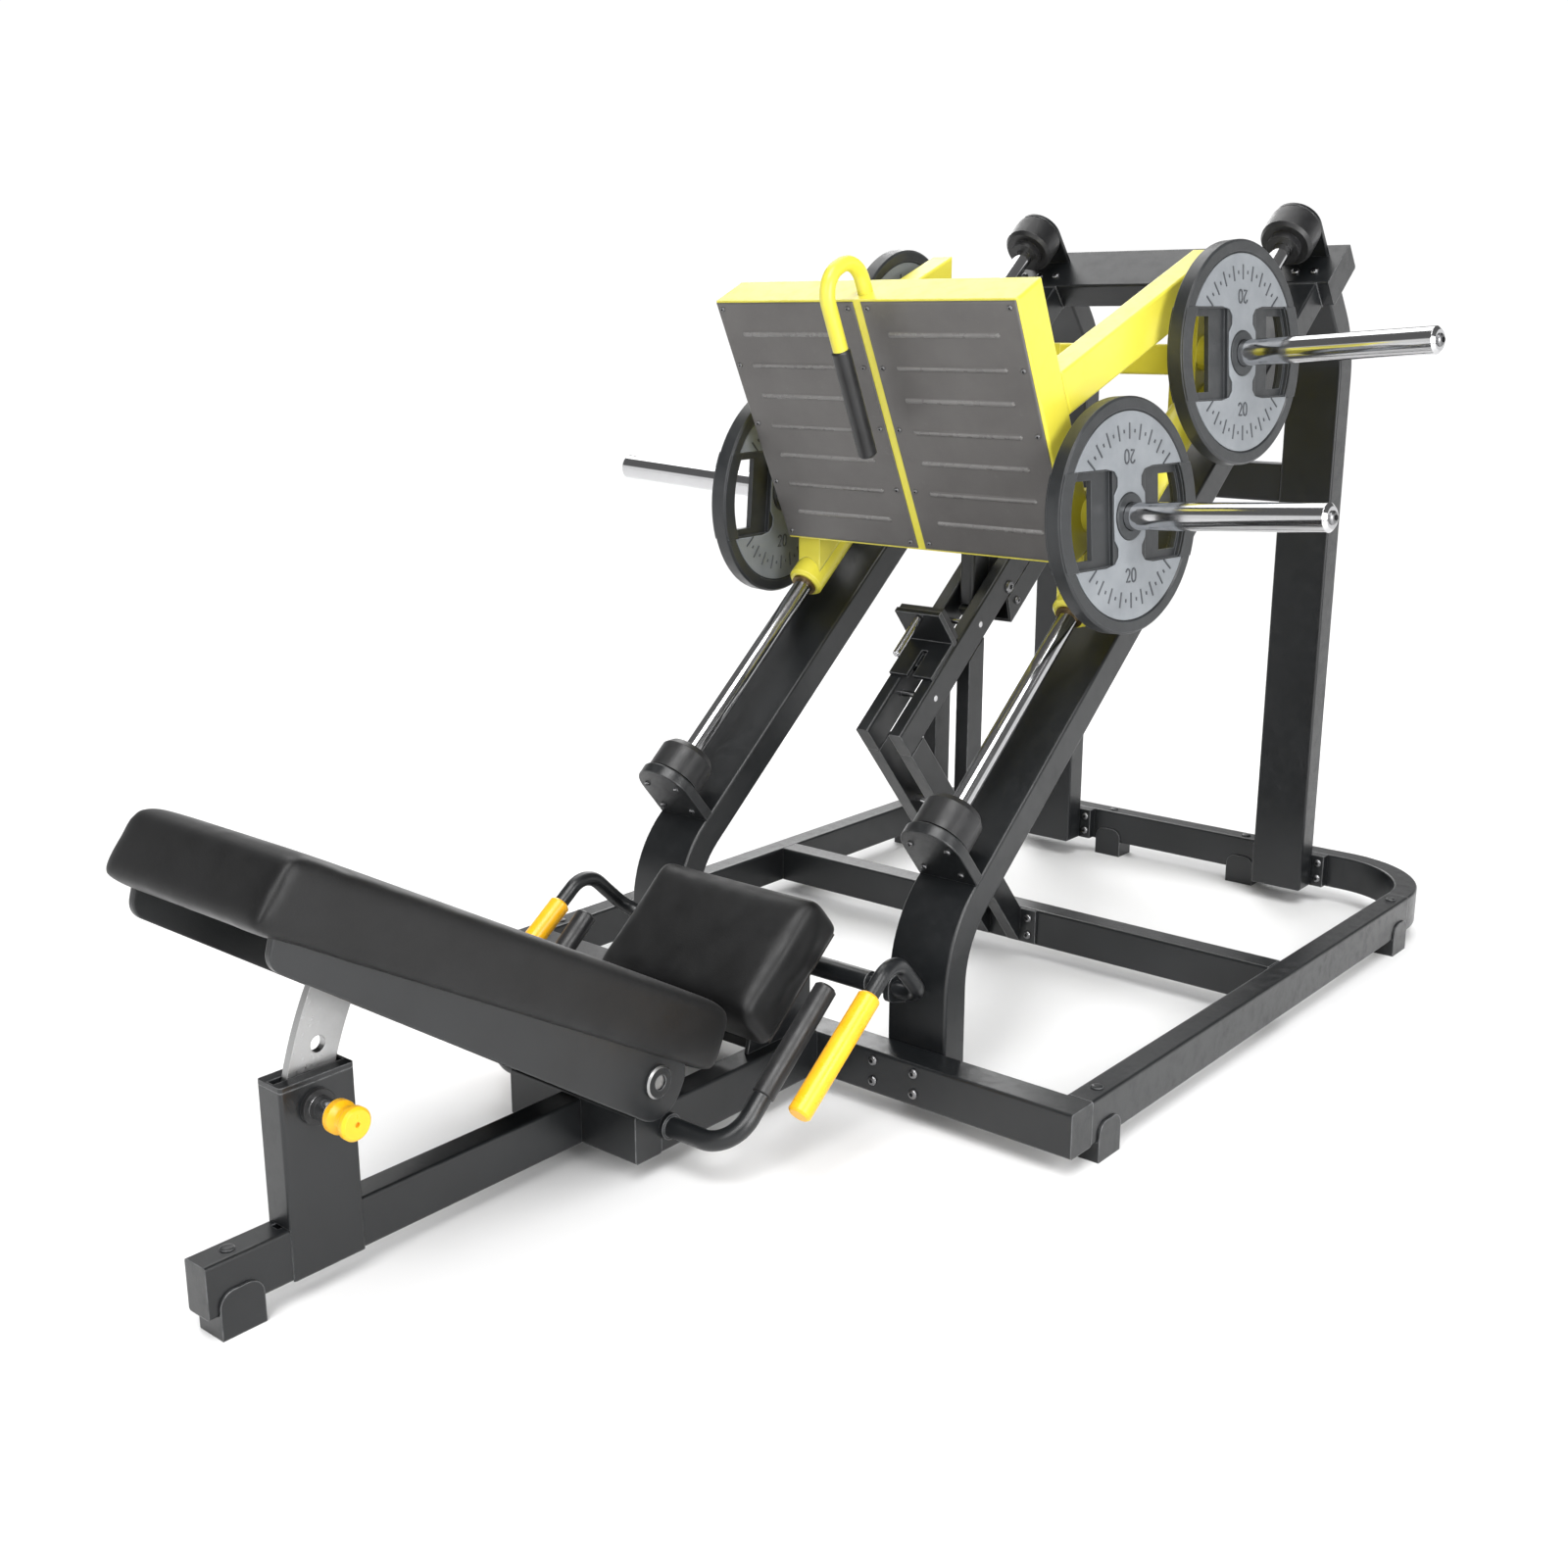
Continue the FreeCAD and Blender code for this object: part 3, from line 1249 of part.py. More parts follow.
def horns():
    """Chrome plate horns, the bosses that hold them, and a weight plate on each."""
    shafts, bosses, tips = [], [], []
    for place_name, y, z in HORNS:
        for side, sign in SIDES:
            key = f"{place_name}_{side}"
            radius, seat_at, long = dim.horn_radius, dim.plate_seat - 0.4, dim.horn_long
            neck, park = radius - dim.horn_relief, dim.horn_park
            collar, step = radius + dim.collar_rise, seat_at - dim.collar_long
            shaft = [(0, 0), (neck, 0), (neck, step), (collar, step),
                     (collar, seat_at), (neck, seat_at), (neck, park), (radius, park),
                     (radius, long - 6), (radius - 6, long), (0, long)]
            horn = turned(f"horn_{key}", shaft)
            on_horn(horn, sign, y, z)
            shafts.append(horn)
            start, wide = between(sign, dim.tray_half, dim.tray_half + dim.boss_long)
            blank = cylinder(f"boss_blank_{key}", FLAT, start, y, z, dim.boss_radius, wide)
            bosses.append(cut(f"boss_{key}", blank, horn))
            cap = dim.tip_radius
            tip = [(0, long), (cap, long), (cap, long + 2), (cap - 3, long + 5), (0, long + 7)]
            screw = turned(f"tip_{key}", tip)
            on_horn(screw, sign, y, z)
            tips.append(screw)
            weight_plate(key, sign, y, z)
    gather("plate_horns", shafts)
    gather("horn_bosses", bosses)
    gather("sled_screws", tips)


def side_outline(inner, half, radius):
    """One side opening of a plate: straight towards the hub and along, round outside."""
    steps = 8
    points = [(inner, half), (inner, -half)]
    swing = math.degrees(math.asin(half.value / radius.value))
    for step in range(steps + 1):
        angle = size(swing * (2 * step / steps - 1))
        points.append((radius * cosine(angle), radius * sine(angle)))
    return points


def weight_plate(key, sign, y, z):
    """A cast plate: proud rim and hub, recessed side panels with grip windows."""
    start, thick, rim = dim.plate_seat, dim.plate_thick, dim.plate_radius
    bore, edge, hub = dim.horn_radius + dim.plate_bore_gap, dim.plate_edge, dim.plate_hub
    end, inside = start + thick, rim - dim.plate_rim
    reach = end - edge
    body = turned(f"plate_{key}", [
        (bore, start), (hub, start), (hub, start + edge), (inside, start + edge),
        (inside + 3, start), (rim - edge, start), (rim, start + edge), (rim, reach),
        (rim - edge, end), (inside + 3, end), (inside, reach), (hub, reach), (hub, end),
        (bore, end)])
    panel = (dim.web_half, dim.panel_half, dim.panel_radius)
    window = (dim.window_inner, dim.window_half, dim.window_radius)
    deep = dim.panel_deep
    openings = (("outer_panel", panel, deep, reach),
                ("inner_panel", panel, deep, start + edge + deep),
                ("window", window, thick * 2, reach))
    for name, (inner, half, radius), depth, level in openings:
        sketch = new_sketch(body, "XY_Plane", name)
        outline = side_outline(inner, half, radius)
        polygon(sketch, outline)
        polygon(sketch, [(-x, across) for x, across in outline])
        sketch.setExpression("AttachmentOffset.Base.z", level.text)
        pocket(body, sketch, depth, f"{name}_cut")
    on_horn(body, sign, y, z)
    node(body, f"weight_plate_{key}")


def carry_handle():
    """The hooked handle on the footplate that the user steadies the sled with."""
    route = [spot(TRAY, 0, 0, -dim.hook_foot), spot(TRAY, 0, dim.hook_rise, -dim.hook_foot),
             spot(FLAT, 0, dim.hook_crown_back, dim.hook_crown_height),
             spot(FLAT, 0, dim.hook_end_back, dim.hook_end_height)]
    bar = bent_rod("hook_bar", route, dim.hook_bend.value, dim.hook_radius)
    node(bar, "sled_handle")
    sleeve = sleeve_on("hook_sleeve", route[-2], route[-1], 0.39, dim.hook_grip)
    node(cut("sled_handle_grip", sleeve, bar), "sled_handle_grip")


# ---------------------------------------------------------------- build, check, write
base_frame()
feet()
seat_frame()
seat()
pillar()
backrest()
pop_pin()
side_handles()
release_lever()
uprights()
bolts()
rods()
stop_frame()
safety_catch()
stop_block()
tray()
sled_frame()
housings()
horns()
carry_handle()
for set_name, members in sets.items():
    node(group(f"{set_name}_set", members), set_name)

doc.recompute()
for item in doc.Objects:
    if "Invalid" in item.State or "Error" in item.State:
        raise RuntimeError(f"{item.Label} did not build: {item.State}")
for item in nodes:
    if item.Shape.isNull() or not item.Shape.isValid() or not item.Shape.Solids:
        raise RuntimeError(f"{item.Label} has no valid solid")

os.makedirs("parts", exist_ok=True)
for item in nodes:
    item.Shape.exportStep(os.path.join("parts", f"{item.Label}.step"))
print(len(nodes), "sub-parts written")
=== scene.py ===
"""Looks for the leg press machine: paint, chrome, vinyl, moulded plates and the studio."""

import json
import math

import bmesh
import bpy
from mathutils import Matrix, Vector


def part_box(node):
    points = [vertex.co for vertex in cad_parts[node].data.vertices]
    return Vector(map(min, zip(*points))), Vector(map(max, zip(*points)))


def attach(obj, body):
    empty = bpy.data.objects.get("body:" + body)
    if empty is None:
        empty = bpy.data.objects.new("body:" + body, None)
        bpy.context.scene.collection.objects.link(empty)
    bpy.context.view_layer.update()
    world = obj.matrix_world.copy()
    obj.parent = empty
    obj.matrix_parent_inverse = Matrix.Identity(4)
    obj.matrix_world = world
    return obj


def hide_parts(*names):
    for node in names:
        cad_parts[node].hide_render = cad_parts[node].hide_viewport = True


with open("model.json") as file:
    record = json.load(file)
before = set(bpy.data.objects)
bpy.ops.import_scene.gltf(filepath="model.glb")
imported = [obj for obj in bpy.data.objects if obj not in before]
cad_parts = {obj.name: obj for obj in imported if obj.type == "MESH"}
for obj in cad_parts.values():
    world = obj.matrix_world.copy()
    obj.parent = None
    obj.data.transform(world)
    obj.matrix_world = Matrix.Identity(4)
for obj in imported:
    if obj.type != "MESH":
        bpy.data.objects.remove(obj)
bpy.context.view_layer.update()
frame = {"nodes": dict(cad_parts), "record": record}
nodes = frame["nodes"]
scene = bpy.context.scene

INCLINE = math.radians(40)
RECLINE = math.radians(29.7)
TRAY_SLOPE = math.radians(115.3)
HORN_SWEEP, HORN_RISE = -0.0936, 0.0713
MM = 0.001


# ---------------------------------------------------------------- node helpers
class Shade:
    """A small writer of node materials in metres, on object coordinates."""

    def __init__(self, name):
        self.material = bpy.data.materials.new(name)
        self.material.use_nodes = True
        self.tree = self.material.node_tree
        self.shader = self.tree.nodes["Principled BSDF"]
        self.place = self.node("ShaderNodeTexCoord").outputs["Object"]

    def node(self, kind, inputs=None, **settings):
        made = self.tree.nodes.new(kind)
        for key, value in settings.items():
            setattr(made, key, value)
        for key, value in (inputs or {}).items():
            self.feed(made.inputs[key], value)
        return made

    def feed(self, socket, value):
        if isinstance(value, bpy.types.NodeSocket):
            self.tree.links.new(value, socket)
        else:
            socket.default_value = value

    def set(self, **values):
        for key, value in values.items():
            self.feed(self.shader.inputs[key.replace("_", " ")], value)

    def noise(self, scale, detail=2.0, rough=0.5, where=None):
        made = self.node("ShaderNodeTexNoise", {
            "Vector": where or self.place, "Scale": scale, "Detail": detail,
            "Roughness": rough})
        return made.outputs["Fac"]

    def cells(self, scale, feature="F1", where=None):
        made = self.node("ShaderNodeTexVoronoi", {"Vector": where or self.place, "Scale": scale},
                         feature=feature)
        return made.outputs["Distance"]

    def stretched(self, scale):
        made = self.node("ShaderNodeMapping", {"Vector": self.place, "Scale": scale})
        return made.outputs["Vector"]

    def span(self, value, low, high, out_low=0.0, out_high=1.0):
        made = self.node("ShaderNodeMapRange", {
            "Value": value, "From Min": low, "From Max": high,
            "To Min": out_low, "To Max": out_high})
        return made.outputs["Result"]

    def maths(self, operation, first, second=0.0):
        made = self.node("ShaderNodeMath", operation=operation)
        self.feed(made.inputs[0], first)
        self.feed(made.inputs[1], second)
        return made.outputs[0]

    def mix(self, share, first, second):
        made = self.node("ShaderNodeMix", data_type="RGBA")
        self.feed(made.inputs["Factor"], share)
        self.feed(made.inputs[6], first)
        self.feed(made.inputs[7], second)
        return made.outputs[2]

    def bump(self, height, distance, strength=1.0, normal=None):
        made = self.node("ShaderNodeBump", {
            "Height": height, "Distance": distance, "Strength": strength})
        if normal is not None:
            self.feed(made.inputs["Normal"], normal)
        return made.outputs["Normal"]

    def soft_edges(self, radius):
        """The normal with rounded edges, and how much of an edge each point is."""
        soft = self.node("ShaderNodeBevel", {"Radius": radius}, samples=6).outputs["Normal"]
        hard = self.node("ShaderNodeNewGeometry").outputs["True Normal"]
        turn = self.node("ShaderNodeVectorMath", operation="DOT_PRODUCT")
        self.feed(turn.inputs[0], soft)
        self.feed(turn.inputs[1], hard)
        return soft, self.span(turn.outputs["Value"], 0.985, 0.84)


def rgb(red, green, blue):
    return (red, green, blue, 1.0)


def powder_coat(name, base, light, edge, rough, grain=0.00012, edge_radius=0.003):
    """Baked powder coat: orange peel, fine grain, cloudy gloss and paler edges that are partly
    paint wear and partly a painted highlight.
    """
    shade = Shade(name)
    soft, rim = shade.soft_edges(edge_radius)
    cloud = shade.noise(5.0, 4.0)
    colour = shade.mix(shade.span(cloud, 0.35, 0.68), base, light)
    speck = shade.span(shade.noise(900.0, 1.0), 0.40, 0.72)
    colour = shade.mix(shade.maths("MULTIPLY", speck, 0.28), colour, light)
    # Paler edges along every bevel, broken up by noise: partly paint wear, partly a painted
    # highlight.
    edge_wear_and_highlight = shade.maths("MULTIPLY", rim, shade.span(shade.noise(60.0, 4.0), 0.30, 0.62, 0.35))
    colour = shade.mix(shade.maths("MULTIPLY", edge_wear_and_highlight, 0.85), colour, edge)
    dust = shade.span(shade.noise(38.0, 5.0, 0.7), 0.45, 0.75, rough - 0.05, rough + 0.12)
    peel = shade.bump(shade.noise(420.0, 2.0), grain * 2.2, 0.55, soft)
    fine = shade.bump(shade.noise(1500.0, 1.0), grain, 0.8, peel)
    shade.set(Base_Color=colour, Roughness=dust, Normal=fine, Specular_IOR_Level=0.5,
              Coat_Weight=0.08, Coat_Roughness=0.25)
    return shade.material


def polished(name, base, rough, streak, lines=(40.0, 40.0, 40.0)):
    """Bright metal with hairline polishing marks and faint smears of handling."""
    shade = Shade(name)
    soft = shade.soft_edges(0.0015)[0]
    hairs = shade.noise(30.0, 6.0, 0.65, shade.stretched(lines))
    smear = shade.noise(7.0, 5.0, 0.6)
    gloss = shade.maths("ADD", shade.span(smear, 0.4, 0.75, rough, rough * 2.1),
                        shade.span(hairs, 0.3, 0.8, 0.0, streak))
    tint = shade.mix(shade.span(smear, 0.3, 0.7), base,
                     tuple(part * 0.92 for part in base[:3]) + (1.0,))
    shade.set(Base_Color=tint, Roughness=gloss, Metallic=1.0,
              Normal=shade.bump(hairs, 0.00003, 0.25, soft))
    return shade.material


def grained_vinyl(name):
    """Upholstery vinyl: pebbled leather grain with painted shade in its creases, cloudy tone, soft
    sheen.
    """
    shade = Shade(name)
    warp = shade.noise(120.0, 2.0)
    where = shade.node("ShaderNodeVectorMath", operation="ADD")
    shade.feed(where.inputs[0], shade.place)
    shift = shade.node("ShaderNodeCombineXYZ", {"X": shade.maths("MULTIPLY", warp, 0.0012)})
    shade.feed(where.inputs[1], shift.outputs["Vector"])
    pebble = shade.cells(520.0, "SMOOTH_F1", where.outputs["Vector"])
    crease_shade = shade.cells(520.0, "DISTANCE_TO_EDGE", where.outputs["Vector"])
    wide = shade.noise(9.0, 5.0, 0.6)
    colour = shade.mix(shade.span(wide, 0.35, 0.7), rgb(0.0030, 0.0030, 0.0032),
                       rgb(0.0062, 0.0063, 0.0067))
    # The grain's creases are darkened: a painted shade.
    colour = shade.mix(shade.span(crease_shade, 0.0, 0.10, 0.5, 0.0), colour,
                       rgb(0.0015, 0.0015, 0.0016))
    gloss = shade.span(shade.noise(24.0, 4.0), 0.3, 0.75, 0.38, 0.52)
    grain = shade.bump(pebble, 0.00022, 0.55)
    swell = shade.bump(shade.noise(16.0, 3.0), 0.0009, 0.22, grain)
    shade.set(Base_Color=colour, Roughness=gloss, Normal=swell, Specular_IOR_Level=0.34,
              Sheen_Weight=0.04, Sheen_Roughness=0.45)
    return shade.material


def moulded(name, base, light, rough, grain=700.0, depth=0.00018, sheen=0.05, edge=None):
    """Moulded rubber or plastic: pebbled skin, cloudy tone and paler edges, partly rubbing wear
    and partly a painted highlight.
    """
    shade = Shade(name)
    soft, rim = shade.soft_edges(0.002)
    cloud = shade.noise(14.0, 5.0, 0.6)
    colour = shade.mix(shade.span(cloud, 0.35, 0.7), base, light)
    if edge:
        # Paler edges: partly rubbing wear, partly a painted highlight.
        edge_rub_and_highlight = shade.maths("MULTIPLY", rim, shade.span(shade.noise(80.0, 3.0), 0.3, 0.6, 0.3))
        colour = shade.mix(shade.maths("MULTIPLY", edge_rub_and_highlight, 0.6), colour, edge)
    gloss = shade.span(shade.noise(50.0, 3.0), 0.3, 0.7, rough - 0.06, rough + 0.08)
    skin = shade.bump(shade.noise(grain, 3.0, 0.6), depth, 0.7, soft)
    shade.set(Base_Color=colour, Roughness=gloss, Normal=skin, Sheen_Weight=sheen)
    return shade.material


def painted_sheet(name):
    """The footplate's grey sheet: satin, faintly brushed, scuffed where shoes land."""
    shade = Shade(name)
    hairs = shade.noise(26.0, 5.0, 0.6, shade.stretched((1.5, 26.0, 26.0)))
    cloud = shade.noise(6.0, 5.0, 0.6)
    colour = shade.mix(shade.span(cloud, 0.35, 0.7), rgb(0.105, 0.100, 0.097),
                       rgb(0.135, 0.130, 0.126))
    scuff = shade.span(shade.noise(70.0, 6.0, 0.75), 0.60, 0.74)
    colour = shade.mix(shade.maths("MULTIPLY", scuff, 0.25), colour, rgb(0.20, 0.195, 0.19))
    gloss = shade.maths("ADD", shade.span(cloud, 0.3, 0.7, 0.36, 0.46),
                        shade.span(hairs, 0.3, 0.7, -0.03, 0.05))
    grain = shade.bump(hairs, 0.00005, 0.35)
    skin = shade.bump(shade.noise(1300.0, 1.0), 0.00008, 0.6, grain)
    shade.set(Base_Color=colour, Roughness=gloss, Normal=skin, Metallic=0.35)
    return shade.material


def plywood(name):
    """Board edges stained black, with the veneer's long grain."""
    shade = Shade(name)
    veneer = shade.noise(30.0, 5.0, 0.6, shade.stretched((1.0, 8.0, 8.0)))
    colour = shade.mix(shade.span(veneer, 0.35, 0.65), rgb(0.010, 0.009, 0.008),
                       rgb(0.030, 0.024, 0.019))
    shade.set(Base_Color=colour, Roughness=shade.span(veneer, 0.3, 0.7, 0.55, 0.75),
              Normal=shade.bump(veneer, 0.0002, 0.6))
    return shade.material


# The third colour of each coat is its paler edge: partly paint wear, partly a painted highlight.
CHARCOAL = powder_coat("charcoal_paint", rgb(0.0050, 0.0057, 0.0064), rgb(0.0095, 0.0106, 0.0118),
                       rgb(0.22, 0.225, 0.23), 0.33, edge_radius=0.0035)
YELLOW = powder_coat("yellow_paint", rgb(0.66, 0.59, 0.050), rgb(0.72, 0.65, 0.070),
                     rgb(0.93, 0.89, 0.32), 0.33, 0.00006)
SHEET = painted_sheet("skin_grey")
# The rib finish is a lighter grey than the sheet: a painted highlight on the rib crests, paler
# still at its edges.
RIB_HIGHLIGHT = moulded("rib_painted_highlight", rgb(0.135, 0.130, 0.127), rgb(0.175, 0.170, 0.166), 0.28, 900.0,
              0.00005, 0.0, rgb(0.40, 0.40, 0.39))
CHROME = polished("chrome", rgb(0.60, 0.60, 0.61), 0.07, 0.05)
STEEL = polished("brushed_steel", rgb(0.42, 0.42, 0.42), 0.24, 0.22, (60.0, 6.0, 6.0))
VINYL = grained_vinyl("vinyl")
RUBBER = moulded("black_rubber", rgb(0.008, 0.008, 0.009), rgb(0.014, 0.014, 0.015), 0.52)
GRIP = moulded("black_grip", rgb(0.006, 0.006, 0.0065), rgb(0.011, 0.011, 0.012), 0.38, 420.0,
               0.0003)
# A moulded finish's last colour is its paler edge: partly rubbing wear, partly a painted
# highlight.
AMBER = moulded("grip_yellow", rgb(0.86, 0.42, 0.004), rgb(0.93, 0.50, 0.010), 0.30, 500.0,
                0.0001, 0.05, rgb(0.95, 0.62, 0.10))
PLATE_DARK = moulded("plate_rim", rgb(0.013, 0.0145, 0.016), rgb(0.021, 0.023, 0.025), 0.38,
                     600.0, 0.0002, 0.05, rgb(0.10, 0.11, 0.12))
PLATE_FACE = moulded("plate_face", rgb(0.165, 0.178, 0.192), rgb(0.210, 0.225, 0.240), 0.38,
                     500.0, 0.0002, 0.05, rgb(0.34, 0.36, 0.38))
PLATE_MARK = moulded("plate_mark", rgb(0.030, 0.034, 0.040), rgb(0.045, 0.050, 0.058), 0.40,
                     600.0, 0.0001)
BOARD = plywood("board")
BRONZE = polished("bronze", rgb(0.16, 0.11, 0.05), 0.30, 0.12)
SCREW = polished("screw_steel", rgb(0.22, 0.22, 0.225), 0.22, 0.10)
# A screw's socket is not cut: a dark hexagon on each head is its painted shadow.
SOCKET_SHADOW = polished("socket_shadow", rgb(0.02, 0.02, 0.021), 0.45, 0.10)
HUB = polished("hub_steel", rgb(0.10, 0.105, 0.11), 0.34, 0.10)

SLOT_FINISH = {
    "charcoal_paint": CHARCOAL, "yellow_paint": YELLOW, "skin_grey": SHEET, "chrome": CHROME,
    "steel": STEEL, "vinyl": VINYL, "rubber": RUBBER, "grip_yellow": AMBER,
    "plate_rubber": PLATE_DARK, "board": BOARD, "bronze": BRONZE,
}
NODE_FINISH = {
    "side_grips": GRIP, "sled_handle_grip": GRIP, "sled_stop_bar": CHARCOAL,
    "rubber_bumpers": GRIP, "rod_caps": GRIP, "rubber_feet": CHARCOAL,
    "frame_bolts": SCREW, "sled_screws": SCREW,
}


def finish_frame():
    """Give every carried-over CAD node the finish of its material slot."""
    for part in frame["record"]["subparts"]:
        node = nodes[part["node"]]
        node.data.materials.clear()
        node.data.materials.append(NODE_FINISH.get(part["node"],
                                                   SLOT_FINISH[part["material_slot"]]))


# ---------------------------------------------------------------- mesh helpers
def new_object(name, mesh, material, body, smooth=True):
    """A piece that rides on a body."""
    item = bpy.data.objects.new(name, mesh)
    scene.collection.objects.link(item)
    item.data.materials.append(material)
    if smooth:
        for face in item.data.polygons:
            face.use_smooth = True
    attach(item, body)
    return item


def apply_modifiers(item):
    """Turn an object's modifier stack into plain mesh."""
    graph = bpy.context.evaluated_depsgraph_get()
    baked = bpy.data.meshes.new_from_object(item.evaluated_get(graph))
    item.modifiers.clear()
    item.data = baked


def traced(curve, lines, closed):
    """The mesh of a curve that runs through flat lists of points."""
    for line in lines:
        spline = curve.splines.new("POLY")
        spline.points.add(len(line) - 1)
        for point, (x, y) in zip(spline.points, line):
            point.co = (x, y, 0, 1)
        spline.use_cyclic_u = closed
    draft = bpy.data.objects.new(f"{curve.name}_draft", curve)
    scene.collection.objects.link(draft)
    bpy.context.view_layer.update()
    mesh = bpy.data.meshes.new_from_object(
        draft.evaluated_get(bpy.context.evaluated_depsgraph_get()))
    bpy.data.objects.remove(draft)
    return mesh


def slab(name, outlines, thick, bevel, place, material, body):
    """A flat shape with rounded edges, from closed outlines in its own plane."""
    curve = bpy.data.curves.new(name, "CURVE")
    curve.dimensions = "2D"
    curve.fill_mode = "BOTH"
    curve.extrude = max(thick / 2 - bevel, 0.00005)
    curve.bevel_depth = bevel
    curve.bevel_resolution = 2
    curve.offset = -bevel
    mesh = traced(curve, outlines, True)
    mesh.transform(place)
    return new_object(name, mesh, material, body, smooth=False)


def arc(radius, start, end, steps):
    """Points on an arc about the origin, angles in degrees."""
    turn = [math.radians(start + (end - start) * step / steps) for step in range(steps + 1)]
    return [(radius * math.cos(angle), radius * math.sin(angle)) for angle in turn]


# ---------------------------------------------------------------- cushions
SHRINK = 0.0055
VOXEL = 0.0065
CLOTH_FRAMES = 20


def cushion(name, node, turn, body, cap, crown):
    """A padded block: the CAD solid drawn in, blown up by cloth and gently crowned."""
    mesh = nodes[node].data.copy()
    mesh.materials.clear()
    low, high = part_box(node)
    middle = (Vector(low) + Vector(high)) / 2
    local = Matrix.Rotation(turn, 4, "X")
    mesh.transform(local.inverted() @ Matrix.Translation(-middle))
    half = [max(abs(vertex.co[axis]) for vertex in mesh.vertices) for axis in range(3)]
    for vertex in mesh.vertices:
        for axis in range(3):
            vertex.co[axis] *= (half[axis] - SHRINK) / half[axis]
    item = new_object(name, mesh, VINYL, body)
    remesh = item.modifiers.new("remesh", "REMESH")
    remesh.mode = "VOXEL"
    remesh.voxel_size = VOXEL
    apply_modifiers(item)
    smooth = item.modifiers.new("smooth", "SMOOTH")
    smooth.iterations = 6
    apply_modifiers(item)
    rest = [vertex.co.copy() for vertex in item.data.vertices]
    swell(item)
    settle(item, rest, cap)
    relax = item.modifiers.new("relax", "SMOOTH")
    relax.iterations = 12
    apply_modifiers(item)
    crown_top(item, half, crown)
    item.data.transform(Matrix.Translation(middle) @ local)
    subdivide = item.modifiers.new("subdivide", "SUBSURF")
    subdivide.levels = 1
    apply_modifiers(item)
    item.data.materials.clear()
    item.data.materials.append(VINYL)
    for face in item.data.polygons:
        face.use_smooth = True
    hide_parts(node)
    return item


def swell(item):
    """Blow the shell up with cloth pressure, then keep the result."""
    cloth = item.modifiers.new("cloth", "CLOTH")
    cloth.settings.use_pressure = True
    cloth.settings.uniform_pressure_force = 4.0
    cloth.settings.effector_weights.gravity = 0.0
    cloth.settings.quality = 4
    cloth.settings.tension_stiffness = 18
    cloth.settings.compression_stiffness = 18
    cloth.settings.bending_stiffness = 2.5
    cloth.point_cache.frame_start = 1
    cloth.point_cache.frame_end = CLOTH_FRAMES
    for step in range(1, CLOTH_FRAMES + 1):
        scene.frame_set(step)
    apply_modifiers(item)
    scene.frame_set(1)


def settle(item, rest, cap):
    """Keep the cloth's soft folds, but cap how far any point of it moved."""
    for vertex, start in zip(item.data.vertices, rest):
        move = vertex.co - start
        if move.length > cap:
            vertex.co = start + move.normalized() * cap


def crown_top(item, half, crown):
    """Bring the block back to its stated size, flat below and gently crowned above."""
    points = [vertex.co.copy() for vertex in item.data.vertices]
    low = [min(point[axis] for point in points) for axis in range(3)]
    high = [max(point[axis] for point in points) for axis in range(3)]
    for vertex, point in zip(item.data.vertices, points):
        share = [(point[axis] - low[axis]) / (high[axis] - low[axis]) for axis in range(3)]
        spot = [half[axis] * (2 * share[axis] - 1) for axis in range(3)]
        across, along = abs(spot[0]) / half[0], abs(spot[1]) / half[1]
        dome = (1 - across ** 4) * (1 - along ** 6)
        spot[2] += crown * dome * share[2] ** 2
        vertex.co = spot


# ---------------------------------------------------------------- footplate skins
SKIN_THICK, SKIN_TALL, SKIN_EDGE, SKIN_GAP = 3 * MM, 507.5 * MM, 4 * MM, 9 * MM
RIBS, FIRST_RIB, RIB_INSET = 7, 62 * MM, 50 * MM
RIB_HALF, RIB_RISE, RIB_SPACING = 4.5 * MM, 2.9 * MM, 385 * MM / (RIBS - 1)
ROLL = 1.6 * MM


def skin_lift(s, d, wide):
    """How far a skin's face stands out at a point: its ribs up, its edges rolled down."""
    number = min(max(round((d - FIRST_RIB) / RIB_SPACING), 0), RIBS - 1)
    gap_y = abs(d - FIRST_RIB - number * RIB_SPACING)
    gap_x = max(RIB_INSET - s, s - (wide - RIB_INSET), 0)
    reach = math.hypot(gap_x, gap_y)
    rib = RIB_RISE * max(0.0, 1 - (reach / RIB_HALF) ** 2) ** 0.6
    edge = min(s, wide - s, d, SKIN_TALL - d)
    return rib - ROLL * max(0.0, 1 - edge / SKIN_EDGE) ** 2


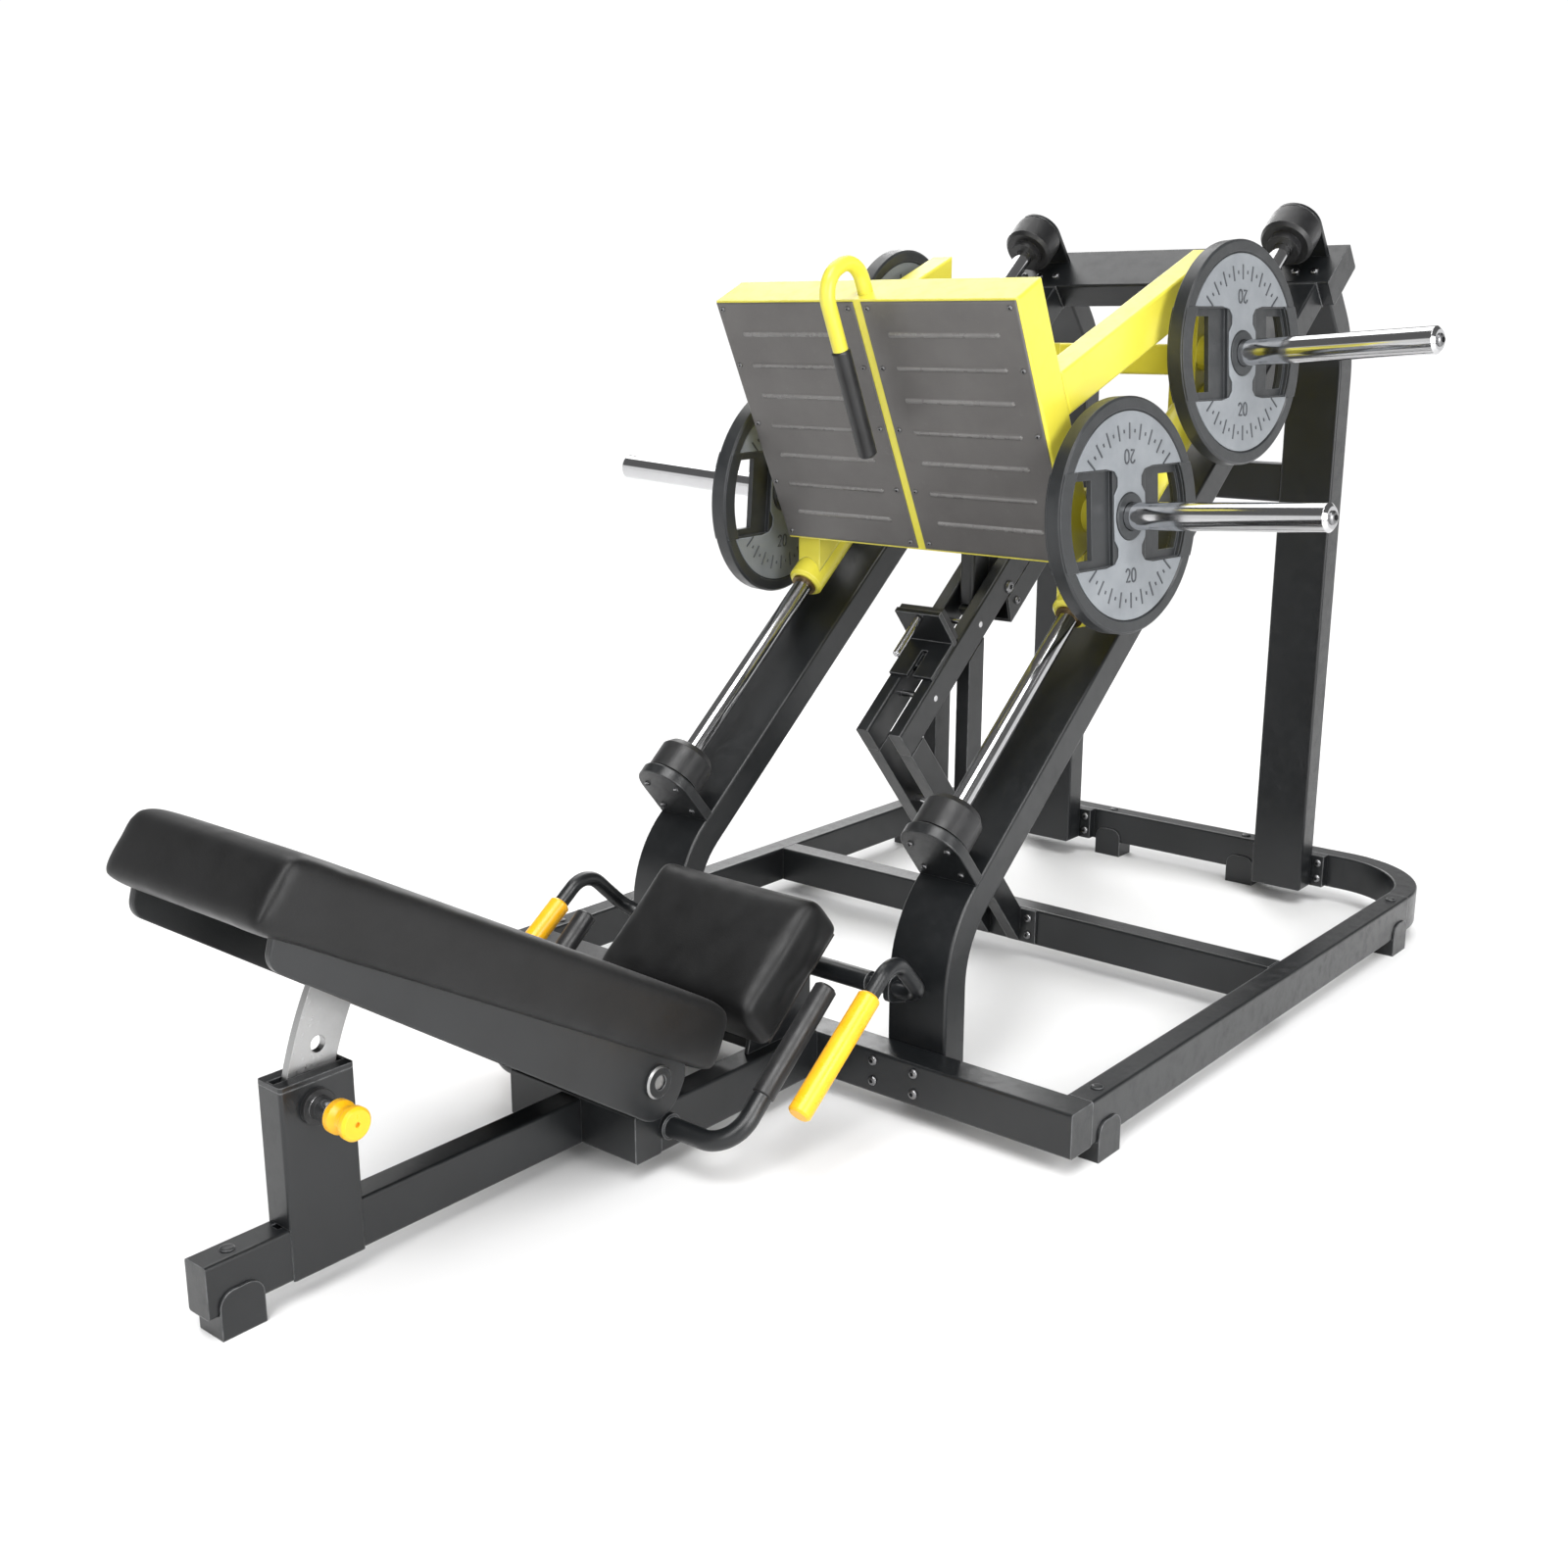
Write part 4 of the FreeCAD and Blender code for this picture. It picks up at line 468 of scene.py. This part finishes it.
def footplate_skins():
    """Two sheets with seven soft pressed ribs each, rolled down a little at their edges, with the
    rib crests given a lighter finish as a painted highlight.
    """
    corners = [vertex.co for vertex in nodes["footplate_tray"].data.vertices]
    up = Vector((0, math.cos(TRAY_SLOPE), math.sin(TRAY_SLOPE)))
    out = Vector((0, -math.sin(TRAY_SLOPE), math.cos(TRAY_SLOPE)))
    face = max(point.dot(out) for point in corners)
    crest = max(point.dot(up) for point in corners)
    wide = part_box("footplate_tray")[1][0] - SKIN_EDGE - SKIN_GAP
    step = 1.8 * MM
    columns, rows = int(wide / step), int(SKIN_TALL / step)
    for side, sign in (("left", -1), ("right", 1)):
        body = bmesh.new()
        grid = []
        for row in range(rows + 1):
            line = []
            for column in range(columns + 1):
                s, d = wide * column / columns, SKIN_TALL * row / rows
                spot = (Vector((sign * (SKIN_GAP + s), 0, 0)) + up * (crest - SKIN_EDGE - d)
                        + out * (face + SKIN_THICK + skin_lift(s, d, wide)))
                line.append(body.verts.new(spot))
            grid.append(line)
        for low_line, high_line in zip(grid, grid[1:]):
            for column in range(columns):
                loop = [low_line[column], low_line[column + 1], high_line[column + 1],
                        high_line[column]]
                body.faces.new(loop if sign < 0 else list(reversed(loop)))
        # Faces high on the rib crests get the lighter rib finish: a painted highlight.
        highlight_height = face + SKIN_THICK + 0.9 * MM
        for shape in body.faces:
            height = sum(vertex.co.dot(out) for vertex in shape.verts) / len(shape.verts)
            shape.material_index = 1 if height > highlight_height else 0
        rim = [edge for edge in body.edges if edge.is_boundary]
        made = bmesh.ops.extrude_edge_only(body, edges=rim)
        for vertex in made["geom"]:
            if isinstance(vertex, bmesh.types.BMVert):
                vertex.co -= out * (SKIN_THICK - ROLL + 0.3 * MM)
        back = [edge for edge in body.edges if edge.is_boundary]
        bmesh.ops.edgeloop_fill(body, edges=back)
        bmesh.ops.recalc_face_normals(body, faces=body.faces)
        mesh = bpy.data.meshes.new(f"skin_{side}")
        body.to_mesh(mesh)
        body.free()
        item = new_object(f"footplate_skin_{side}", mesh, SHEET, "sled")
        # Second slot: the lighter rib finish, a painted highlight on the crests.
        mesh.materials.append(RIB_HIGHLIGHT)
        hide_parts("footplate_skins")


# ---------------------------------------------------------------- weight plates
def plate_frame(key):
    """A plate's own frame: origin at its middle, Z outward along the horn, Y up."""
    sign = 1 if key.endswith("right") else -1
    low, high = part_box(f"weight_plate_{key}")
    middle = (Vector(low) + Vector(high)) / 2
    outward = Vector((sign, HORN_SWEEP, HORN_RISE)).normalized()
    up = (Vector((0, 0, 1)) - outward * outward.z).normalized()
    across = up.cross(outward)
    turn = Matrix((across, up, outward)).transposed().to_4x4()
    return Matrix.Translation(middle) @ turn


FIGURES = {
    # strokes of each numeral on a grid one wide and two high
    "2": [(0, 1.55), (0.12, 1.85), (0.5, 2.0), (0.88, 1.85), (1, 1.5), (0.85, 1.1), (0.1, 0.1),
          (1.0, 0.1)],
    "0": [(0.5, 2.0), (0.85, 1.85), (1, 1.4), (1, 0.6), (0.85, 0.15), (0.5, 0.0), (0.15, 0.15),
          (0, 0.6), (0, 1.4), (0.15, 1.85), (0.5, 2.0)],
}
PLATE_RADIUS, RIM_WIDTH, BAND = 212 * MM, 25 * MM, 87 * MM
WEB_LEVEL, RIM_LEVEL = 13 * MM, 17 * MM


def strokes(name, lines, width, rise, place, material, body):
    """Raised rounded lines in a plane, all in one piece."""
    curve = bpy.data.curves.new(name, "CURVE")
    curve.dimensions = "3D"
    curve.bevel_depth = width / 2
    curve.bevel_resolution = 3
    curve.use_fill_caps = True
    mesh = traced(curve, lines, False)
    mesh.transform(Matrix.Diagonal((1, 1, rise / width * 2, 1)))
    mesh.transform(place)
    return new_object(name, mesh, material, body)


def turned_about(points, degrees):
    """Points turned about the plate's middle."""
    cos, sin = math.cos(math.radians(degrees)), math.sin(math.radians(degrees))
    return [(x * cos - y * sin, x * sin + y * cos) for x, y in points]


def plate_web():
    """The outline of the raised face: two D halves joined by a neck round the hub."""
    radius = PLATE_RADIUS - RIM_WIDTH - MM
    swing = math.degrees(math.asin(BAND / radius))
    neck = [(-72, 87), (-46, 82), (-36, 70), (-36, 54), (-47, 40), (-48.5, 0)]
    left = [(x * MM, y * MM) for x, y in neck]
    left += [(x, -y) for x, y in reversed(left[:-1])]
    right = [(-x, -y) for x, y in left]
    return (arc(radius, swing, 180 - swing, 56) + left
            + arc(radius, 180 + swing, 360 - swing, 56) + right)


def plate_grip(side):
    """The outline of the flat rim beside a window, where a hand takes the plate."""
    outer, inner = PLATE_RADIUS - 1.5 * MM, 179 * MM
    outer_swing = math.degrees(math.asin(BAND / outer))
    inner_swing = math.degrees(math.asin(BAND / inner))
    outline = arc(outer, -outer_swing, outer_swing, 20) + arc(inner, inner_swing, -inner_swing, 20)
    return turned_about(outline, 0 if side > 0 else 180)


def plate_marks():
    """The weight twice over, and plain raised ticks and dots round both halves."""
    lines = []
    size, numeral_drop, tick_pitch = 12 * MM, 118 * MM, 6.3
    tick, dot = (137 * MM, 165 * MM), (148 * MM, 154 * MM)
    for turn in (0, 180):
        for index, digit in enumerate("20"):
            shift = (index * 1.5 - 1.25) * size
            line = [(x * size + shift, y * size - numeral_drop) for x, y in FIGURES[digit]]
            lines.append(turned_about(line, turn))
        for step in range(-8, 9):
            low, high = tick if step % 2 == 0 else dot
            lines.append(turned_about([(0, -low), (0, -high)], turn + step * tick_pitch))
    return lines


def weight_plate(key):
    """Raised faces with an H web round the hub, grips, numerals and plain cast ticks."""
    body = f"plate_{key}"
    place = plate_frame(key)
    hub_hole = arc(43 * MM, 0, 360, 48)[:-1]
    ring = [arc(41 * MM, 0, 360, 48)[:-1], arc(26 * MM, 0, 360, 40)[:-1]]
    for side, turn in (("outer", Matrix.Identity(4)), ("inner", Matrix.Rotation(math.pi, 4, "Y"))):
        face = place @ turn
        name = f"{key}_{side}"
        pieces = (
            slab(f"{name}_web", [plate_web(), hub_hole], 2.6 * MM, 0.9 * MM,
                 face @ Matrix.Translation((0, 0, WEB_LEVEL + 1.1 * MM)), PLATE_FACE, body),
            slab(f"{name}_grips", [plate_grip(1), plate_grip(-1)], 4.8 * MM, 1.2 * MM,
                 face @ Matrix.Translation((0, 0, RIM_LEVEL - 1.8 * MM)), PLATE_DARK, body),
            slab(f"{name}_hub", ring, 1.6 * MM, 0.6 * MM,
                 face @ Matrix.Translation((0, 0, RIM_LEVEL)), HUB, body),
            strokes(f"{name}_marks", plate_marks(), 4.2 * MM, 1.5 * MM,
                    face @ Matrix.Translation((0, 0, WEB_LEVEL + 2.4 * MM)), PLATE_MARK, body),
        )


# ---------------------------------------------------------------- screw socket shadows, painted
def loose_parts(mesh):
    """The faces of a mesh, grouped by the solid they belong to."""
    body = bmesh.new()
    body.from_mesh(mesh)
    bmesh.ops.remove_doubles(body, verts=body.verts, dist=1e-6)
    seen, groups = set(), []
    for face in body.faces:
        if face in seen:
            continue
        group, queue = [], [face]
        seen.add(face)
        while queue:
            current = queue.pop()
            group.append((current.calc_area(), current.normal.copy(),
                          [vertex.co.copy() for vertex in current.verts]))
            for edge in current.edges:
                for other in edge.link_faces:
                    if other not in seen:
                        seen.add(other)
                        queue.append(other)
        groups.append(group)
    body.free()
    return groups


def head_axis(group):
    """A screw head's outward direction: away from its flat underside."""
    sums = {}
    for area, normal, _ in group:
        key = tuple(round(part, 2) for part in normal)
        sums[key] = sums.get(key, 0.0) + area
    return -Vector(max(sums, key=sums.get)).normalized()


def socket_shadows(node, body_name):
    """A dark hexagonal plug standing just proud of the crown of every screw head of a node: a
    painted shadow where its socket would be.
    """
    deep, proud, chamfer, share, taper = 0.9 * MM, 0.15 * MM, 0.15 * MM, 0.46, 0.82
    body = bmesh.new()
    for group in loose_parts(nodes[node].data):
        axis = head_axis(group)
        points = [point for _, _, spots in group for point in spots]
        middle = sum(points, Vector()) / len(points)
        top = max(point.dot(axis) for point in points)
        wide = max((point - middle - axis * (point - middle).dot(axis)).length
                   for point in points)
        centre = middle + axis * (top - middle.dot(axis) + proud)
        turn = axis.to_track_quat("Z", "Y").to_matrix().to_4x4()
        made = bmesh.ops.create_cone(body, cap_ends=True, segments=6, radius1=wide * share,
                                     radius2=wide * share * taper, depth=deep,
                                     matrix=Matrix.Translation(centre) @ turn)
        bmesh.ops.bevel(body, geom=[edge for edge in
                                    {e for v in made["verts"] for e in v.link_edges}],
                        offset=chamfer, segments=1, affect="EDGES")
    mesh = bpy.data.meshes.new(f"{node}_sockets")
    body.to_mesh(mesh)
    body.free()
    item = new_object(f"{node}_sockets", mesh, SOCKET_SHADOW, body_name, smooth=False)


def paint_faces(node, test, finish):
    """Give part of a carried-over node a second finish, chosen by face centre."""
    data = nodes[node].data
    data.materials.append(finish)
    second = len(data.materials) - 1
    for face in data.polygons:
        if test(face.center):
            face.material_index = second


# ---------------------------------------------------------------- studio
def studio():
    """A pale floor in a light tent, with two broad suns and three soft boxes."""
    bpy.ops.mesh.primitive_plane_add(size=40, location=(0, 0, 0))
    floor = bpy.context.object
    floor.name = "floor"
    shade = Shade("floor")
    grain = shade.noise(2.0, 3.0)
    shade.set(Base_Color=shade.mix(grain, rgb(0.83, 0.83, 0.83), rgb(0.86, 0.86, 0.86)),
              Roughness=shade.span(grain, 0.3, 0.7, 0.55, 0.65))
    floor.data.materials.append(shade.material)
    tent()
    for name, spot, power, spread in (("sun_key", (1.2, -1.6, 3.4), 2.5, 38),
                                      ("sun_back", (-1.5, 1.4, 3.0), 1.5, 50)):
        data = bpy.data.lights.new(name, "SUN")
        data.energy = power
        data.angle = math.radians(spread)
        aim(bpy.data.objects.new(name, data), spot, (0, 0, 0))
    boxes = (
        ("box_right", (3.8, -0.9, 1.7), (0, 0.1, 0.6), 2.2, 120),
        ("box_front", (1.0, -4.0, 2.4), (0, -0.3, 0.5), 1.8, 45),
        ("box_rear", (-2.6, 3.4, 2.4), (0, 0.4, 0.8), 1.8, 45),
    )
    for name, spot, target, wide, power in boxes:
        data = bpy.data.lights.new(name, "AREA")
        data.size = wide
        data.energy = power
        aim(bpy.data.objects.new(name, data), spot, target)


def aim(light, spot, target):
    """Place a light and point it at a target."""
    light.location = spot
    light.rotation_euler = (Vector(target) - Vector(spot)).to_track_quat("-Z", "Y").to_euler()
    scene.collection.objects.link(light)


def tent():
    """A white light tent: bright at eye level, dimmer overhead."""
    world = bpy.data.worlds.new("studio")
    scene.world = world
    world.use_nodes = True
    tree = world.node_tree
    where = tree.nodes.new("ShaderNodeTexCoord")
    parts = tree.nodes.new("ShaderNodeSeparateXYZ")
    fade = tree.nodes.new("ShaderNodeMapRange")
    wall_top, roof, bright, dark = 0.17, 0.27, 1.05, 0.16
    for key, value in (("From Min", wall_top), ("From Max", roof), ("To Min", bright),
                       ("To Max", dark)):
        fade.inputs[key].default_value = value
    tree.links.new(where.outputs["Generated"], parts.inputs["Vector"])
    tree.links.new(parts.outputs["Z"], fade.inputs["Value"])
    tree.links.new(fade.outputs["Result"], tree.nodes["Background"].inputs["Strength"])
    tree.nodes["Background"].inputs["Color"].default_value = (1, 1, 1, 1)
    scene.view_settings.view_transform = "Standard"


def camera():
    """The main viewpoint: a 40 mm lens in front and to the right, tilted down a little."""
    data = bpy.data.cameras.new("camera")
    data.lens = 40
    data.sensor_width = 36
    item = bpy.data.objects.new("camera", data)
    item.location = (1.9684, -2.5205, 1.3501)
    pitch, heading = math.radians(14.9), math.radians(40.0)
    item.rotation_euler = (math.pi / 2 - pitch, 0, heading)
    scene.collection.objects.link(item)
    scene.camera = item


finish_frame()
cushion("backrest_pad", "backrest_cushion", -RECLINE, "backrest", 0.003, 0.003)
cushion("seat_pad", "seat_cushion", INCLINE, "frame", 0.003, 0.004)
footplate_skins()
barrel_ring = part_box("seat_pillar")[1][0] + 9 * MM
paint_faces("pin_barrel", lambda centre: centre.x < barrel_ring, GRIP)
axle_low, axle_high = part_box("pivot_axle")
pivot = (Vector(axle_low) + Vector(axle_high)) / 2
bright_inner, bright_outer = 24.8 * MM, 27.6 * MM
paint_faces("pivot_covers",
            lambda centre: bright_inner < (centre - pivot).yz.length < bright_outer, STEEL)
# Dark hexagons on the screw heads, each the painted shadow of a socket.
socket_shadows("frame_bolts", "frame")
socket_shadows("sled_screws", "sled")
for plate_key in ("front_left", "front_right", "rear_left", "rear_right"):
    weight_plate(plate_key)
studio()
camera()
